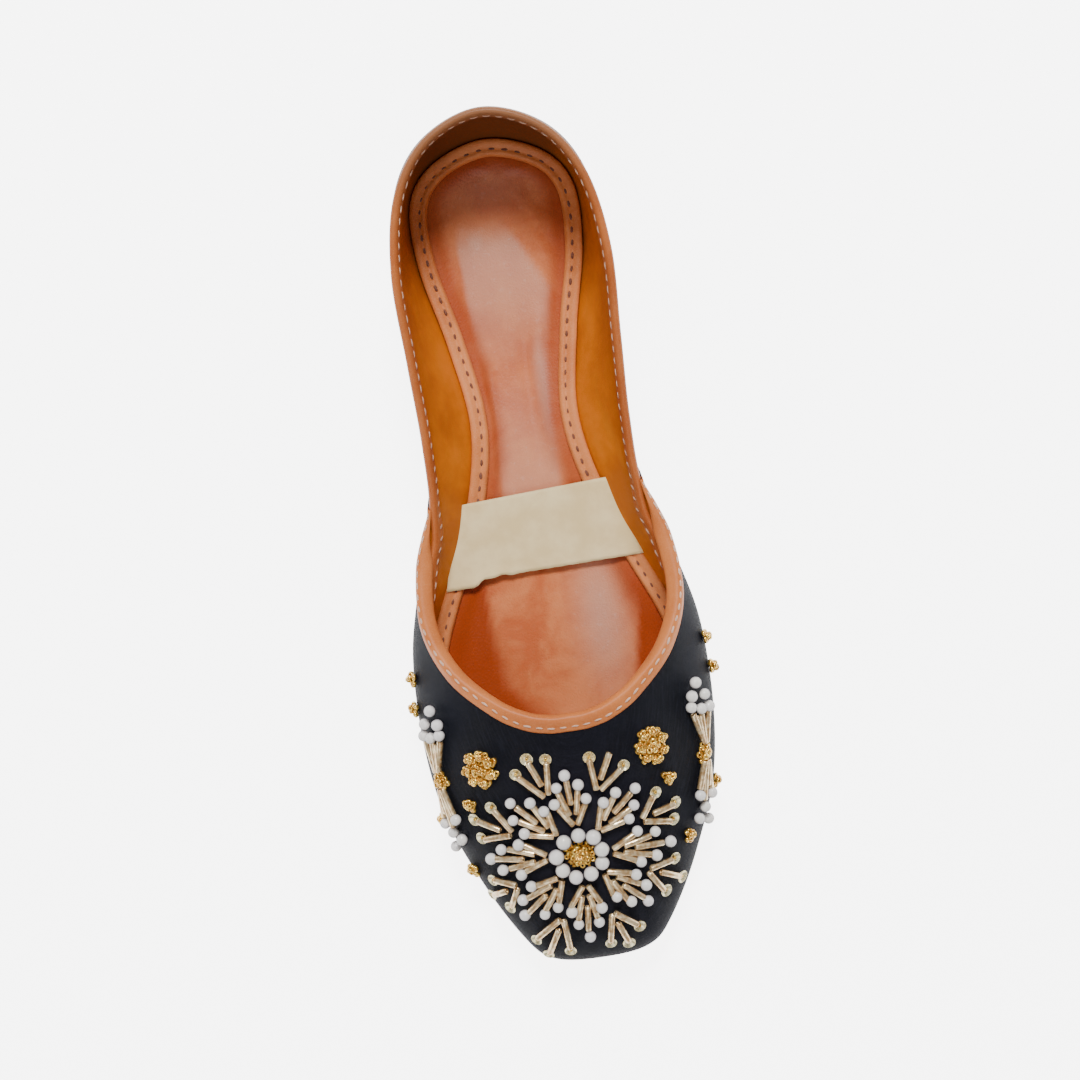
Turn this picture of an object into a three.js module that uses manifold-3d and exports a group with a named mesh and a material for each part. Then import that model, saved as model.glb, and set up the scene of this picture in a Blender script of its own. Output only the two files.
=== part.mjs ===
import * as THREE from "three";
import { mergeVertices } from "three/addons/utils/BufferGeometryUtils.js";
import Module from "manifold-3d";

const wasm = await Module();
wasm.setup();

// Driving dimensions of the shoe, in millimetres.
const length = 241;
const ballWidth = 82;
const heelHeight = 51;

// Sole, in millimetres.
const soleThick = 4.5;
const soleChamfer = 0.8;
const soleMargin = 0.5;
const archRise = 2;
const archStart = 61;
const archEnd = 131;
const springStart = 186;
const springRise = 5;

// Leather and seams, in millimetres.
const gap = 0.3;
const wall = 1.8;
const lap = 1;
const bindingGap = 0.4;
const bindingThick = 0.9;
const bindingOutside = 3.6;
const bindingInside = 5.4;

// Tucked ends of the collar binding: ribs where they start and end, the rest in millimetres.
const tailThick = 1;
const tailWidth = 5;
const tailStart = 5.5;
const tailEnd = 7.4;
const tailTop = 2.7;
const tailDrop = 15;
const tailSteps = 8;

// Insole, in millimetres.
const insoleGap = 0.5;
const insoleThick = 2.8;
const insoleDish = 1;
const bandWidth = 5;
const bandThick = 1.3;
const bandLean = 0.6;
const labelThick = 0.4;
const labelInset = 0.8;
const labelSag = 1.4;
const labelSkew = -1.2;
const labelSteps = 6;
const labelStart = 106.5;
const labelEnd = 129;

// Half of the upper in ribs, from the middle of the heel round to the middle of the toe.
// foot: where a rib stands on the sole; top: where it ends at the opening.
// Along is a share of the length, half a share of half the ball width, height a share of the heel
// height; low and high steer the curve in millimetres, and reach pulls its upper part to the foot.
const ribColumns = [
  "footAlong", "footHalf", "lowOut", "lowUp", "reach", "highOut", "highDrop",
  "topAlong", "topHalf", "topHeight",
];
const ribRows = [
  [0.022, 0.0, 7.6, 13, 0.0, 4.2, 16, 0.014, 0.0, 1.0],
  [0.043, 0.395, 6.4, 13, 0.0, 3.6, 16, 0.039, 0.385, 0.993],
  [0.088, 0.6, 4.2, 12, 0.0, 2.0, 15, 0.096, 0.622, 0.97],
  [0.164, 0.6, 4, 11, 0.0, 1.5, 14, 0.181, 0.718, 0.908],
  [0.261, 0.465, 4.4, 9, 0.0, 1.6, 13, 0.281, 0.705, 0.785],
  [0.356, 0.38, 4.6, 8, 0.0, 1.8, 11, 0.371, 0.69, 0.662],
  [0.444, 0.475, 4.8, 8, 0.0, 1.8, 9, 0.452, 0.71, 0.575],
  [0.526, 0.68, 5.4, 10, 0.1, 1.8, 8, 0.515, 0.825, 0.582],
  [0.617, 0.9, 6, 13, 0.15, 2.6, 8, 0.581, 0.84, 0.635],
  [0.708, 0.955, 5.6, 14, 0.34, 2.2, 7, 0.636, 0.7, 0.698],
  [0.803, 0.912, 3.8, 13, 0.46, 0.8, 6.5, 0.676, 0.455, 0.75],
  [0.894, 0.712, 3.4, 12, 0.5, 0.0, 8, 0.694, 0.262, 0.776],
  [0.963, 0.485, 3, 11, 0.5, 0.0, 10.5, 0.7, 0.13, 0.784],
  [0.989, 0.315, 2.8, 11, 0.5, 0.0, 12, 0.701, 0.065, 0.785],
  [0.995, 0.0, 2.8, 11, 0.5, 0.0, 12, 0.701, 0.0, 0.785],
];
const toeRib = ribRows.length - 1;

// The vamp laps the quarter along a line from this rib at the opening back to the sole.
const lapRib = 6;
const lapSlant = -1.1;
const lapSpread = 4;
const levelShare = 0.15;

// Beads: sizes in millimetres, bearings in degrees round the rosette from the throat.
const rosetteHalf = -2;
const rosetteAlong = 208;
const ringCount = 9;
const ringRadius = 6.6;
const ringPearl = 2.35;
const threadRadius = 0.7;
const goldRing = 2.2;
const seedRadius = 1.45;
const bugleRadius = 0.85;
const bugleBridge = 0.4;
const petalPearl = 1.65;
const sequinRadius = 1.8;
const sequinThick = 0.9;

// Petal, from its axis: pearls as out and across, bugles as both of their ends.
const petalBearings = [0, 45, 91, 136, 180, 226, 272, 317];
const petalPearls = [[16, 4.4], [16, -4.4], [20.4, 3], [20.4, -3], [23.8, 0]];
const petalBugles = [
  [9.6, 0, 22.8, 0],
  [9.8, 0.4, 15.4, 3.9],
  [9.8, -0.4, 15.4, -3.9],
  [13, 0.4, 19.8, 2.6],
  [13, -0.4, 19.8, -2.6],
];
// Sprigs: bearing and share of the full reach.
const sprigRows = [
  [22, 1], [68, 0.95], [113, 0.92], [160, 0.96], [203, 1], [249, 0.88], [296, 0.95], [340, 1],
];
const sprigFoot = 19.6;
const sprigTips = [[27.4, 4.8], [27.4, -4.8], [30.6, 0]];
const flowerReach = 3.4;
const flowerSeed = 1.9;
const clusterRadius = 1.6;
const goldFlowers = [[21.5, 180.5], [-25.5, 180.5]];
const topClusters = [[25, 190.5], [-30, 190.5], [28.5, 208.5], [-32, 210]];

// Sprays on the two sides, as distance along from the heart and height above it.
const sprayAlong = 185;
const sprayHeight = 21;
const sprayHeart = 2.5;
const sprayPearls = [
  [-20, 6.5], [-16, 8.5], [-15.5, 1.5], [-11, 4],
  [11, 0], [12, -6], [16, -3.5], [20, -7.5],
];
const sideClusters = [[154, 20], [162.5, 17], [195, 11.5]];

// Fineness of the solids.
const quarterSteps = 13;
const vampSteps = 18;
const rises = [0, 0.08, 0.18, 0.36, 0.58, 0.78, 0.92, 1];

const up = new THREE.Vector3(0, 0, 1);

function point(half, along, height) {
  return new THREE.Vector3(half, length / 2 - along, height);
}

function smooth(share) {
  const t = Math.min(1, Math.max(0, share));
  return t * t * (3 - 2 * t);
}

// Underside of the sole: flat under the heel and the ball, lifted at the arch and the toe.
function soleUnder(along) {
  if (along > archStart && along < archEnd) {
    const share = (along - archStart) / (archEnd - archStart);
    return archRise * Math.sin(Math.PI * share) ** 2;
  }
  if (along > springStart) return springRise * ((along - springStart) / (length - springStart)) ** 2;
  return 0;
}

function seat(along) {
  return soleUnder(along) + soleThick + gap;
}

// A row beyond either end is the mirror of the row on the near side.
function ribValue(row, column) {
  const mirrored = row < 0 || row > toeRib;
  const index = row < 0 ? -row : row > toeRib ? 2 * toeRib - row : row;
  const value = ribRows[index][column];
  return mirrored && ribColumns[column].endsWith("Half") ? -value : value;
}

function ribAt(rib) {
  const row = Math.min(toeRib - 1, Math.floor(rib));
  const t = rib - row;
  const values = {};
  ribColumns.forEach((name, column) => {
    const [a, b, c, d] = [-1, 0, 1, 2].map((step) => ribValue(row + step, column));
    const bend = 2 * a - 5 * b + 4 * c - d + (3 * b - a - 3 * c + d) * t;
    values[name] = b + 0.5 * t * (c - a + bend * t);
  });
  return values;
}

function footPoint(rib) {
  const row = ribAt(rib);
  const along = row.footAlong * length;
  return point((row.footHalf * ballWidth) / 2, along, seat(along));
}

// Level outward direction of the sole line.
function footOut(rib) {
  const step = 0.02;
  const run = footPoint(rib + step).sub(footPoint(rib - step)).setZ(0).normalize();
  return new THREE.Vector3(-run.y, run.x, 0);
}

// Point of the upper's base surface: rise goes from 0 at the sole to 1 at the opening.
function base(rib, rise) {
  const row = ribAt(rib);
  const foot = footPoint(rib);
  const top = point((row.topHalf * ballWidth) / 2, row.topAlong * length, row.topHeight * heelHeight);
  const out = footOut(rib);
  const low = foot.clone().addScaledVector(out, row.lowOut).addScaledVector(up, row.lowUp);
  const high = top.clone().addScaledVector(out, row.highOut);
  high.x += (foot.x - top.x) * row.reach;
  high.y += (foot.y - top.y) * row.reach;
  high.z -= row.highDrop;
  return new THREE.CubicBezierCurve3(foot, low, high, top).getPoint(rise);
}

function baseOut(rib, rise) {
  const step = 0.01;
  const below = Math.max(0, rise - step);
  const above = Math.min(1, rise + step);
  const climb = base(rib, above).sub(base(rib, below));
  const run = base(rib + step, rise).sub(base(rib - step, rise));
  return climb.cross(run).normalize();
}

// Offset of the base surface, level where it stands on the sole.
function skin(rib, rise, out) {
  const away = baseOut(rib, rise);
  away.z *= smooth(rise / levelShare);
  return base(rib, rise).addScaledVector(away.normalize(), out);
}

// Ribs lean back near the lap so that one of them runs along the edge of the vamp.
function leaned(rib, rise) {
  const near = smooth(1 - Math.abs(rib - lapRib) / lapSpread);
  return rib + lapSlant * near * (1 - rise);
}

function spaced(from, to, steps) {
  return Array.from({ length: steps + 1 }, (_, i) => from + ((to - from) * i) / steps);
}

function mirror(p) {
  return new THREE.Vector3(-p.x, p.y, p.z);
}

// Right half of a loop, completed by its mirror.
function wholeLoop(half) {
  return [...half, ...half.slice(1, -1).reverse().map((item) =>
    Array.isArray(item) ? item.map(mirror) : mirror(item))];
}

function geometryOf(points, faces) {
  const geometry = new THREE.BufferGeometry();
  geometry.setAttribute("position", new THREE.Float32BufferAttribute(points.flatMap((p) => p.toArray()), 3));
  geometry.setIndex(faces.flat());
  return geometry;
}

function quad(faces, a, b, c, d) {
  faces.push([a, b, c], [a, c, d]);
}

function volumeOf(points, faces) {
  return faces.reduce((sum, [a, b, c]) =>
    sum + points[a].dot(points[b].clone().cross(points[c])) / 6, 0);
}

function outward(points, faces) {
  const turned = volumeOf(points, faces) < 0;
  return geometryOf(points, turned ? faces.map(([a, b, c]) => [a, c, b]) : faces);
}

// Solid through a row of closed outlines with equal point counts.
function sweep(sections, closed) {
  const count = sections[0].length;
  const points = sections.flat();
  const faces = [];
  const spans = closed ? sections.length : sections.length - 1;
  for (let i = 0; i < spans; i++) {
    const here = i * count;
    const next = ((i + 1) % sections.length) * count;
    for (let k = 0; k < count; k++) {
      const l = (k + 1) % count;
      quad(faces, here + k, here + l, next + l, next + k);
    }
  }
  if (!closed) {
    const last = (sections.length - 1) * count;
    capFaces(sections[0]).forEach(([a, b, c]) => faces.push([a, c, b]));
    capFaces(sections[sections.length - 1]).forEach(([a, b, c]) => faces.push([last + a, last + b, last + c]));
  }
  return outward(points, faces);
}

function capFaces(section) {
  const normal = new THREE.Vector3();
  section.forEach((p, i) => normal.add(p.clone().cross(section[(i + 1) % section.length])));
  const turn = new THREE.Quaternion().setFromUnitVectors(normal.normalize(), up);
  const flat = section.map((p) => p.clone().applyQuaternion(turn)).map((p) => new THREE.Vector2(p.x, p.y));
  return THREE.ShapeUtils.triangulateShape(flat, []);
}

// Solid through stacked mirrored loops, closed straight across at the first and the last.
function slab(rings) {
  const count = rings[0].length;
  const points = rings.flat();
  const faces = [];
  for (let r = 0; r + 1 < rings.length; r++) {
    for (let k = 0; k < count; k++) {
      const l = (k + 1) % count;
      quad(faces, r * count + k, r * count + l, (r + 1) * count + l, (r + 1) * count + k);
    }
  }
  const last = (rings.length - 1) * count;
  const middle = count / 2;
  for (let k = 0; k < middle; k++) {
    const strip = [k, k + 1, count - k - 1, (count - k) % count];
    const corners = strip.filter((corner, i) => strip.indexOf(corner) === i);
    for (let c = 1; c + 1 < corners.length; c++) {
      faces.push([corners[0], corners[c + 1], corners[c]]);
      faces.push([last + corners[0], last + corners[c], last + corners[c + 1]]);
    }
  }
  return outward(points, faces);
}

const shoe = new THREE.Group();
shoe.name = "mojari";

const looks = {
  sole: { color: 0xb98a5e, roughness: 0.7, metalness: 0 },
  silk: { color: 0x16181f, roughness: 0.6, metalness: 0 },
  insole: { color: 0xa8653f, roughness: 0.35, metalness: 0 },
  band: { color: 0xcf9a78, roughness: 0.5, metalness: 0 },
  collar: { color: 0xc98f68, roughness: 0.55, metalness: 0 },
  throat: { color: 0xc07d4c, roughness: 0.55, metalness: 0 },
  label: { color: 0xdccba4, roughness: 0.8, metalness: 0 },
  pearl: { color: 0xece8df, roughness: 0.25, metalness: 0 },
  gold: { color: 0xc79b45, roughness: 0.3, metalness: 0.8 },
};
const materials = Object.fromEntries(
  Object.entries(looks).map(([name, look]) => [name, new THREE.MeshStandardMaterial(look)]),
);

function addNode(name, geometry, look) {
  const mesh = new THREE.Mesh(geometry, materials[look]);
  mesh.name = name;
  shoe.add(mesh);
}

const quarterRibs = spaced(0, lapRib - 0.03, quarterSteps);
const vampRibs = spaced(lapRib, toeRib, vampSteps);
const ribs = [...quarterRibs, ...vampRibs];

// Upper: outer skin up, inner skin down, with the vamp one layer proud of the quarter.
const upperSections = ribs.map((rib) => {
  const out = rib < lapRib ? 0 : lap;
  const outer = rises.map((rise) => skin(leaned(rib, rise), rise, out));
  const inner = rises.map((rise) => skin(leaned(rib, rise), rise, -wall));
  return [...outer, ...inner.reverse()];
});
addNode("upper", sweep(wholeLoop(upperSections), true), "silk");

// Outsole: the sole line with a margin, chamfered underneath.
function soleRing(out, lift) {
  return wholeLoop(ribs.map((rib) => {
    const p = footPoint(rib).addScaledVector(footOut(rib), out);
    return p.setZ(soleUnder(length / 2 - p.y) + lift);
  }));
}
addNode("outsole", slab([
  soleRing(soleMargin - soleChamfer, 0),
  soleRing(soleMargin, soleChamfer),
  soleRing(soleMargin, soleThick),
]), "sole");

// Point just inside the wall at a height above the seat.
function innerPoint(rib, lift) {
  const level = footPoint(rib).z + lift;
  let rise = 0;
  while (skin(rib, rise, -wall - insoleGap).z < level) rise += 0.002;
  return skin(rib, rise, -wall - insoleGap);
}

// Ring inside the upper at a height above the seat, a distance in from the wall.
function innerRing(lift, inset, lower) {
  return wholeLoop(ribs.map((rib) => {
    const p = innerPoint(rib, lift).addScaledVector(footOut(rib), -inset);
    return p.setZ(seat(length / 2 - p.y) + lift - lower);
  }));
}
addNode("insole", slab([
  innerRing(0, 0, 0),
  innerRing(insoleThick, 0, 0),
  innerRing(insoleThick, bandWidth + 1, 0),
  innerRing(insoleThick, bandWidth + 4, insoleDish),
]), "insole");

const bandFoot = insoleThick + gap;
const bandRings = [
  innerRing(bandFoot, 0, 0),
  innerRing(bandFoot + bandThick + bandLean, 0, 0),
  innerRing(bandFoot + bandThick, bandWidth - 0.4, 0),
  innerRing(bandFoot, bandWidth, 0),
];
const bandSections = bandRings[0].map((_, i) => bandRings.map((ring) => ring[i]));
addNode("insole_band", sweep(bandSections, true), "band");

// Share of the rise at a distance below the opening, measured along the wall.
function riseBelow(rib, distance) {
  const step = 0.01;
  let rise = 1;
  let passed = 0;
  while (passed < distance && rise > step) {
    passed += base(rib, rise).distanceTo(base(rib, rise - step));
    rise -= step;
  }
  return rise;
}

// Point beside the opening: a distance below it, or above it where negative, and out from the wall.
function beside(rib, below, out) {
  if (below > 0) {
    const rise = riseBelow(rib, below);
    return skin(leaned(rib, rise), rise, out);
  }
  const climb = base(rib, 1).sub(base(rib, 0.98)).normalize();
  return skin(rib, 1, out).addScaledVector(climb, -below);
}

// Leather strip folded over the edge of the wall.
function bindingSection(rib, layer) {
  const outer = layer + bindingGap;
  const inner = -wall - bindingGap;
  const crown = bindingGap + bindingThick;
  const outline = [
    [bindingOutside, outer + bindingThick / 2],
    [0, outer + bindingThick],
    [-0.75 * crown, outer],
    [-crown, (outer + inner) / 2],
    [-0.75 * crown, inner],
    [0, inner - bindingThick],
    [bindingInside, inner - bindingThick / 2],
    [bindingInside, inner],
    [-bindingGap, inner],
    [-bindingGap, outer],
    [bindingOutside, outer],
  ];
  return outline.map(([below, out]) => beside(rib, below, out));
}

function solidOf(geometry) {
  const bare = new THREE.BufferGeometry().setAttribute("position", geometry.getAttribute("position"));
  bare.setIndex(geometry.index);
  const merged = mergeVertices(bare, 1e-4);
  const mesh = new wasm.Mesh({
    numProp: 3,
    vertProperties: new Float32Array(merged.getAttribute("position").array),
    triVerts: new Uint32Array(merged.index.array),
  });
  return new wasm.Manifold(mesh);
}

function fused(geometries) {
  const mesh = geometries.map(solidOf).reduce((whole, piece) => whole.add(piece)).getMesh();
  const geometry = new THREE.BufferGeometry();
  geometry.setAttribute("position", new THREE.BufferAttribute(mesh.vertProperties, 3));
  geometry.setIndex(new THREE.BufferAttribute(mesh.triVerts, 1));
  return geometry;
}

// Collar binding with two ends that pass inside the vamp and run down to the insole.
const collarHalf = spaced(0, lapRib - 0.06, quarterSteps);
const collarSections = [
  ...collarHalf.slice(1).reverse().map((rib) => bindingSection(rib, 0).map(mirror)),
  ...collarHalf.map((rib) => bindingSection(rib, 0)),
];
const tailOut = -(wall + 2 * bindingGap + bindingThick + tailThick / 2);
const tailFused = -(wall + bindingGap + bindingThick / 2);
const tailHalf = spaced(tailStart, tailEnd, tailSteps).map((rib) => {
  const share = (rib - tailStart) / (tailEnd - tailStart);
  const below = tailTop + (tailDrop - tailTop) * share ** 1.6;
  const out = tailFused + (tailOut - tailFused) * smooth((rib - tailStart) / (lapRib - 0.1 - tailStart));
  return [[-1, -1], [1, -1], [1, 1], [-1, 1]].map(([across, through]) =>
    beside(rib, below + (across * tailWidth) / 2, out + (through * tailThick) / 2));
});
addNode("quarter_binding", fused([
  sweep(collarSections, false),
  sweep(tailHalf, false),
  sweep(tailHalf.map((section) => section.map(mirror)), false),
]), "collar");

const throatSections = [
  ...vampRibs.slice(0, -1).map((rib) => bindingSection(rib, lap)),
  ...[...vampRibs].reverse().map((rib) => bindingSection(rib, lap).map(mirror)),
];
addNode("vamp_binding", sweep(throatSections, false), "throat");

// Label: a plain strip over the insole from band to band, sagging a little in the middle.
function ribAlong(along) {
  let rib = 0;
  while (ribAt(rib).footAlong * length < along) rib += 0.01;
  return rib;
}
const bandTop = bandFoot + bandThick + bandLean + gap;
const labelSections = spaced(labelStart, labelEnd, 2).map((along) => {
  const edge = innerPoint(ribAlong(along), bandTop + labelThick).x - labelInset;
  const across = spaced(-1, 1, labelSteps);
  const under = across.map((share) =>
    point(edge * share, along + labelSkew * share, seat(along) + bandTop - labelSag * (1 - share ** 2)));
  const over = under.map((p) => p.clone().addScaledVector(up, labelThick));
  return [...under, ...over.reverse()];
});
addNode("insole_label", sweep(labelSections, false), "label");

// Nearest spot of the vamp to a wanted place: the best of a coarse chart, then ever finer steps.
const chart = spaced(lapRib + 1, toeRib, 28).flatMap((rib) =>
  spaced(0.04, 1, 16).map((rise) => ({ rib, rise, at: skin(rib, rise, lap) })));
function spotNear(miss) {
  let best = chart.reduce((a, b) => (miss(b.at) < miss(a.at) ? b : a));
  let [ribStep, riseStep] = [0.25, 0.06];
  while (ribStep > 0.0005) {
    const tries = [-1, 0, 1].flatMap((a) => [-1, 0, 1].map((b) => {
      const rib = Math.min(toeRib, best.rib + a * ribStep);
      const rise = Math.min(1, Math.max(0, best.rise + b * riseStep));
      return { rib, rise, at: skin(rib, rise, lap) };
    }));
    best = tries.reduce((a, b) => (miss(b.at) < miss(a.at) ? b : a));
    ribStep /= 2;
    riseStep /= 2;
  }
  return best;
}

// Place on the vamp seen from above, lifted off its face.
function onTop(half, along, lift) {
  const wanted = point(Math.abs(half), along, 0);
  const spot = spotNear((p) => Math.hypot(p.x - wanted.x, p.y - wanted.y));
  const p = skin(spot.rib, spot.rise, lap + lift);
  return half < 0 ? mirror(p) : p;
}

// Place on the side of the vamp seen square to it, lifted off its face.
function onSide(side, along, height, lift) {
  const wanted = point(0, along, height);
  const spot = spotNear((p) => Math.hypot(p.y - wanted.y, p.z - wanted.z));
  const p = skin(spot.rib, spot.rise, lap + lift);
  return side < 0 ? mirror(p) : p;
}

function bead(centre, radius) {
  return new THREE.IcosahedronGeometry(radius, 0).translate(centre.x, centre.y, centre.z);
}

function rod(from, to, radius, sides) {
  const way = to.clone().sub(from);
  const turn = new THREE.Quaternion().setFromUnitVectors(new THREE.Vector3(0, 1, 0), way.clone().normalize());
  const middle = from.clone().addScaledVector(way, 0.5);
  return new THREE.CylinderGeometry(radius, radius, way.length(), sides)
    .applyQuaternion(turn).translate(middle.x, middle.y, middle.z);
}

// Spot of a motif from its own axis: out along a bearing from the rosette, and across it.
function onBearing(bearing, out, across, lift) {
  const turn = THREE.MathUtils.degToRad(bearing);
  const half = rosetteHalf + out * Math.sin(turn) + across * Math.cos(turn);
  const along = rosetteAlong - out * Math.cos(turn) + across * Math.sin(turn);
  return onTop(half, along, lift);
}

const bugleLift = gap + bugleRadius + bugleBridge;
const seedLift = gap + seedRadius;

// Ring of pearls on one thread.
const ringSpots = spaced(0, 360, ringCount).slice(1).map((bearing) =>
  onBearing(bearing, ringRadius, 0, gap + ringPearl));
const ringPieces = ringSpots.flatMap((spot, i) => [
  bead(spot, ringPearl),
  rod(spot, ringSpots[(i + 1) % ringCount], threadRadius, 3),
]);
addNode("rosette_pearls", fused(ringPieces), "pearl");

const goldCentre = [bead(onBearing(0, 0, 0, seedLift), seedRadius)];
spaced(0, 360, 6).slice(1).forEach((bearing) => {
  goldCentre.push(bead(onBearing(bearing, goldRing, 0, seedLift), seedRadius));
});
addNode("rosette_gold", fused(goldCentre), "gold");

petalBearings.forEach((bearing, i) => {
  const pieces = petalPearls.map(([out, across]) =>
    bead(onBearing(bearing, out, across, gap + petalPearl), petalPearl));
  petalBugles.forEach(([out, across, endOut, endAcross]) => {
    const from = onBearing(bearing, out, across, bugleLift);
    const to = onBearing(bearing, endOut, endAcross, bugleLift);
    pieces.push(rod(from, to, bugleRadius, 3));
  });
  addNode(`petal_${i + 1}`, fused(pieces), "pearl");
});

sprigRows.forEach(([bearing, share], i) => {
  const pieces = [];
  sprigTips.forEach(([out, across]) => {
    const from = onBearing(bearing, sprigFoot, across / 12, bugleLift);
    const to = onBearing(bearing, out * share, across, bugleLift);
    const under = onBearing(bearing, out * share, across, gap);
    const over = onBearing(bearing, out * share, across, gap + sequinThick);
    pieces.push(rod(from, to, bugleRadius, 3), rod(under, over, sequinRadius, 5));
  });
  addNode(`sprig_${i + 1}`, fused(pieces), "gold");
});

goldFlowers.forEach(([half, along], i) => {
  const heart = onTop(half, along, gap + flowerSeed);
  const pieces = [bead(heart, flowerSeed)];
  spaced(0, 360, 5).slice(1).forEach((bearing) => {
    const turn = THREE.MathUtils.degToRad(bearing);
    const across = half + flowerReach * Math.sin(turn);
    const spot = onTop(across, along + flowerReach * Math.cos(turn), gap + flowerSeed);
    pieces.push(bead(spot, flowerSeed), rod(heart, spot, threadRadius, 3));
  });
  addNode(`gold_flower_${i + 1}`, fused(pieces), "gold");
});

[1, -1].forEach((side, i) => {
  const heart = onSide(side, sprayAlong, sprayHeight, gap + sprayHeart);
  const pieces = [bead(heart, sprayHeart)];
  sprayPearls.forEach(([along, height]) => {
    const tip = onSide(side, sprayAlong + along, sprayHeight + height, gap + petalPearl);
    const end = onSide(side, sprayAlong + along, sprayHeight + height, bugleLift);
    const start = onSide(side, sprayAlong + along * 0.04, sprayHeight + height * 0.04, gap + sprayHeart);
    pieces.push(bead(tip, petalPearl), rod(start, end, bugleRadius, 3));
  });
  addNode(`side_spray_${i + 1}`, fused(pieces), "pearl");
});

const clusterSpots = [
  ...topClusters.map(([half, along]) => onTop(half, along, gap + clusterRadius)),
  ...[1, -1].flatMap((side) =>
    sideClusters.map(([along, height]) => onSide(side, along, height, gap + clusterRadius))),
];
clusterSpots.forEach((spot, i) => addNode(`gold_cluster_${i + 1}`, fused([bead(spot, clusterRadius)]), "gold"));

export default shoe;
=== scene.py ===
import math

import bpy
import bmesh
import numpy as np
from mathutils import Matrix, Vector


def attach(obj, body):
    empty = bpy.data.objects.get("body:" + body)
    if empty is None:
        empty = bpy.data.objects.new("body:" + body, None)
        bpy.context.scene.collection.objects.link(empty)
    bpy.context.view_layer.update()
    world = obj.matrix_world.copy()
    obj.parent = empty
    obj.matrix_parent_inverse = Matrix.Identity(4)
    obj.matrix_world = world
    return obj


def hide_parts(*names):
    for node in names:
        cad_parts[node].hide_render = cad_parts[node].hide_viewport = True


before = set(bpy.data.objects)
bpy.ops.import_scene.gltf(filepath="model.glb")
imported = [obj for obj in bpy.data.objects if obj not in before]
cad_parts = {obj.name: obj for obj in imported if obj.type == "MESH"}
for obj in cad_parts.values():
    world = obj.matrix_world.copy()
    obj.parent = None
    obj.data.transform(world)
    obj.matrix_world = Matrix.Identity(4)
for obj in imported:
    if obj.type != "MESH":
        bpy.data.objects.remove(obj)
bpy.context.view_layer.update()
print("frame loaded:", len(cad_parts), "solids")

mm = 0.001

# sizes that every piece shares, in millimetres
last = {
    "length": 241.0,
    "ballWidth": 82.0,
    "heelHeight": 51.0,
    "soleThick": 4.5,
    "archRise": 2.0,
    "archStart": 61.0,
    "archEnd": 131.0,
    "springStart": 186.0,
    "springRise": 5.0,
    "gap": 0.3,
    "wall": 1.8,
    "insoleGap": 0.5,
    "lap": 1.0,
    "lapRib": 6.0,
    "lapSlant": -1.1,
    "lapSpread": 4.0,
    "levelShare": 0.15,
}

# one row for each rib, from the middle of the heel to the middle of the toe
ribColumns = ("footAlong", "footHalf", "lowOut", "lowUp", "reach", "highOut", "highDrop",
              "topAlong", "topHalf", "topHeight")
ribRows = np.array([
    [0.022, 0.0, 7.6, 13, 0.0, 4.2, 16, 0.014, 0.0, 1.0],
    [0.043, 0.395, 6.4, 13, 0.0, 3.6, 16, 0.039, 0.385, 0.993],
    [0.088, 0.6, 4.2, 12, 0.0, 2.0, 15, 0.096, 0.622, 0.97],
    [0.164, 0.6, 4, 11, 0.0, 1.5, 14, 0.181, 0.718, 0.908],
    [0.261, 0.465, 4.4, 9, 0.0, 1.6, 13, 0.281, 0.705, 0.785],
    [0.356, 0.38, 4.6, 8, 0.0, 1.8, 11, 0.371, 0.69, 0.662],
    [0.444, 0.475, 4.8, 8, 0.0, 1.8, 9, 0.452, 0.71, 0.575],
    [0.526, 0.68, 5.4, 10, 0.1, 1.8, 8, 0.515, 0.825, 0.582],
    [0.617, 0.9, 6, 13, 0.15, 2.6, 8, 0.581, 0.84, 0.635],
    [0.708, 0.955, 5.6, 14, 0.34, 2.2, 7, 0.636, 0.7, 0.698],
    [0.803, 0.912, 3.8, 13, 0.46, 0.8, 6.5, 0.676, 0.455, 0.75],
    [0.894, 0.712, 3.4, 12, 0.5, 0.0, 8, 0.694, 0.262, 0.776],
    [0.963, 0.485, 3, 11, 0.5, 0.0, 10.5, 0.7, 0.13, 0.784],
    [0.989, 0.315, 2.8, 11, 0.5, 0.0, 12, 0.701, 0.065, 0.785],
    [0.995, 0.0, 2.8, 11, 0.5, 0.0, 12, 0.701, 0.0, 0.785],
])
halfColumns = [ribColumns.index("footHalf"), ribColumns.index("topHalf")]
toeRib = len(ribRows) - 1
spare = 3  # mirrored rows kept beyond either end
# steps in ribs and rise for directions on the wall, and the rises where the wall is searched
footStep, wallStep, edgeStep = 0.02, 0.01, 0.02
insideRises = np.linspace(0, 0.7, 141)
edgeRises = np.linspace(1, 0, 161)
foldFade = 6  # a fold comes and goes within one part in six of its line


def extendedRows():
    rows = []
    for row in range(-spare, toeRib + spare + 1):
        index = abs(row) if row <= toeRib else 2 * toeRib - row
        values = ribRows[index].copy()
        if index != row:
            values[halfColumns] *= -1
        rows.append(values)
    return np.array(rows)


allRows = extendedRows()


def smooth(share):
    t = np.clip(share, 0, 1)
    return t * t * (3 - 2 * t)


def ramp(value, start, end):
    return smooth((value - start) / (end - start))


def fade(value, start, end):
    return 1 - ramp(value, start, end)


def bump(value, middle, reach):
    return np.exp(-((value - middle) / reach) ** 2)


def unit(v):
    return v / np.maximum(np.linalg.norm(v, axis=-1, keepdims=True), 1e-9)


def floats(*values):
    return np.broadcast_arrays(*(np.asarray(v, float) for v in values))


def spot(half, along, height):
    return np.stack(floats(half, last["length"] / 2 - along, height), -1)


def alongOf(points):
    return last["length"] / 2 - points[..., 1]


def mirror(points):
    return points * np.array([-1.0, 1, 1])


def bothSides(rows):
    return np.concatenate([rows, mirror(rows)])


def ringOf(right, left):
    # heel to toe on one side and back on the other, without the middle twice
    return np.concatenate([right, left[1:-1][::-1]])


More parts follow.
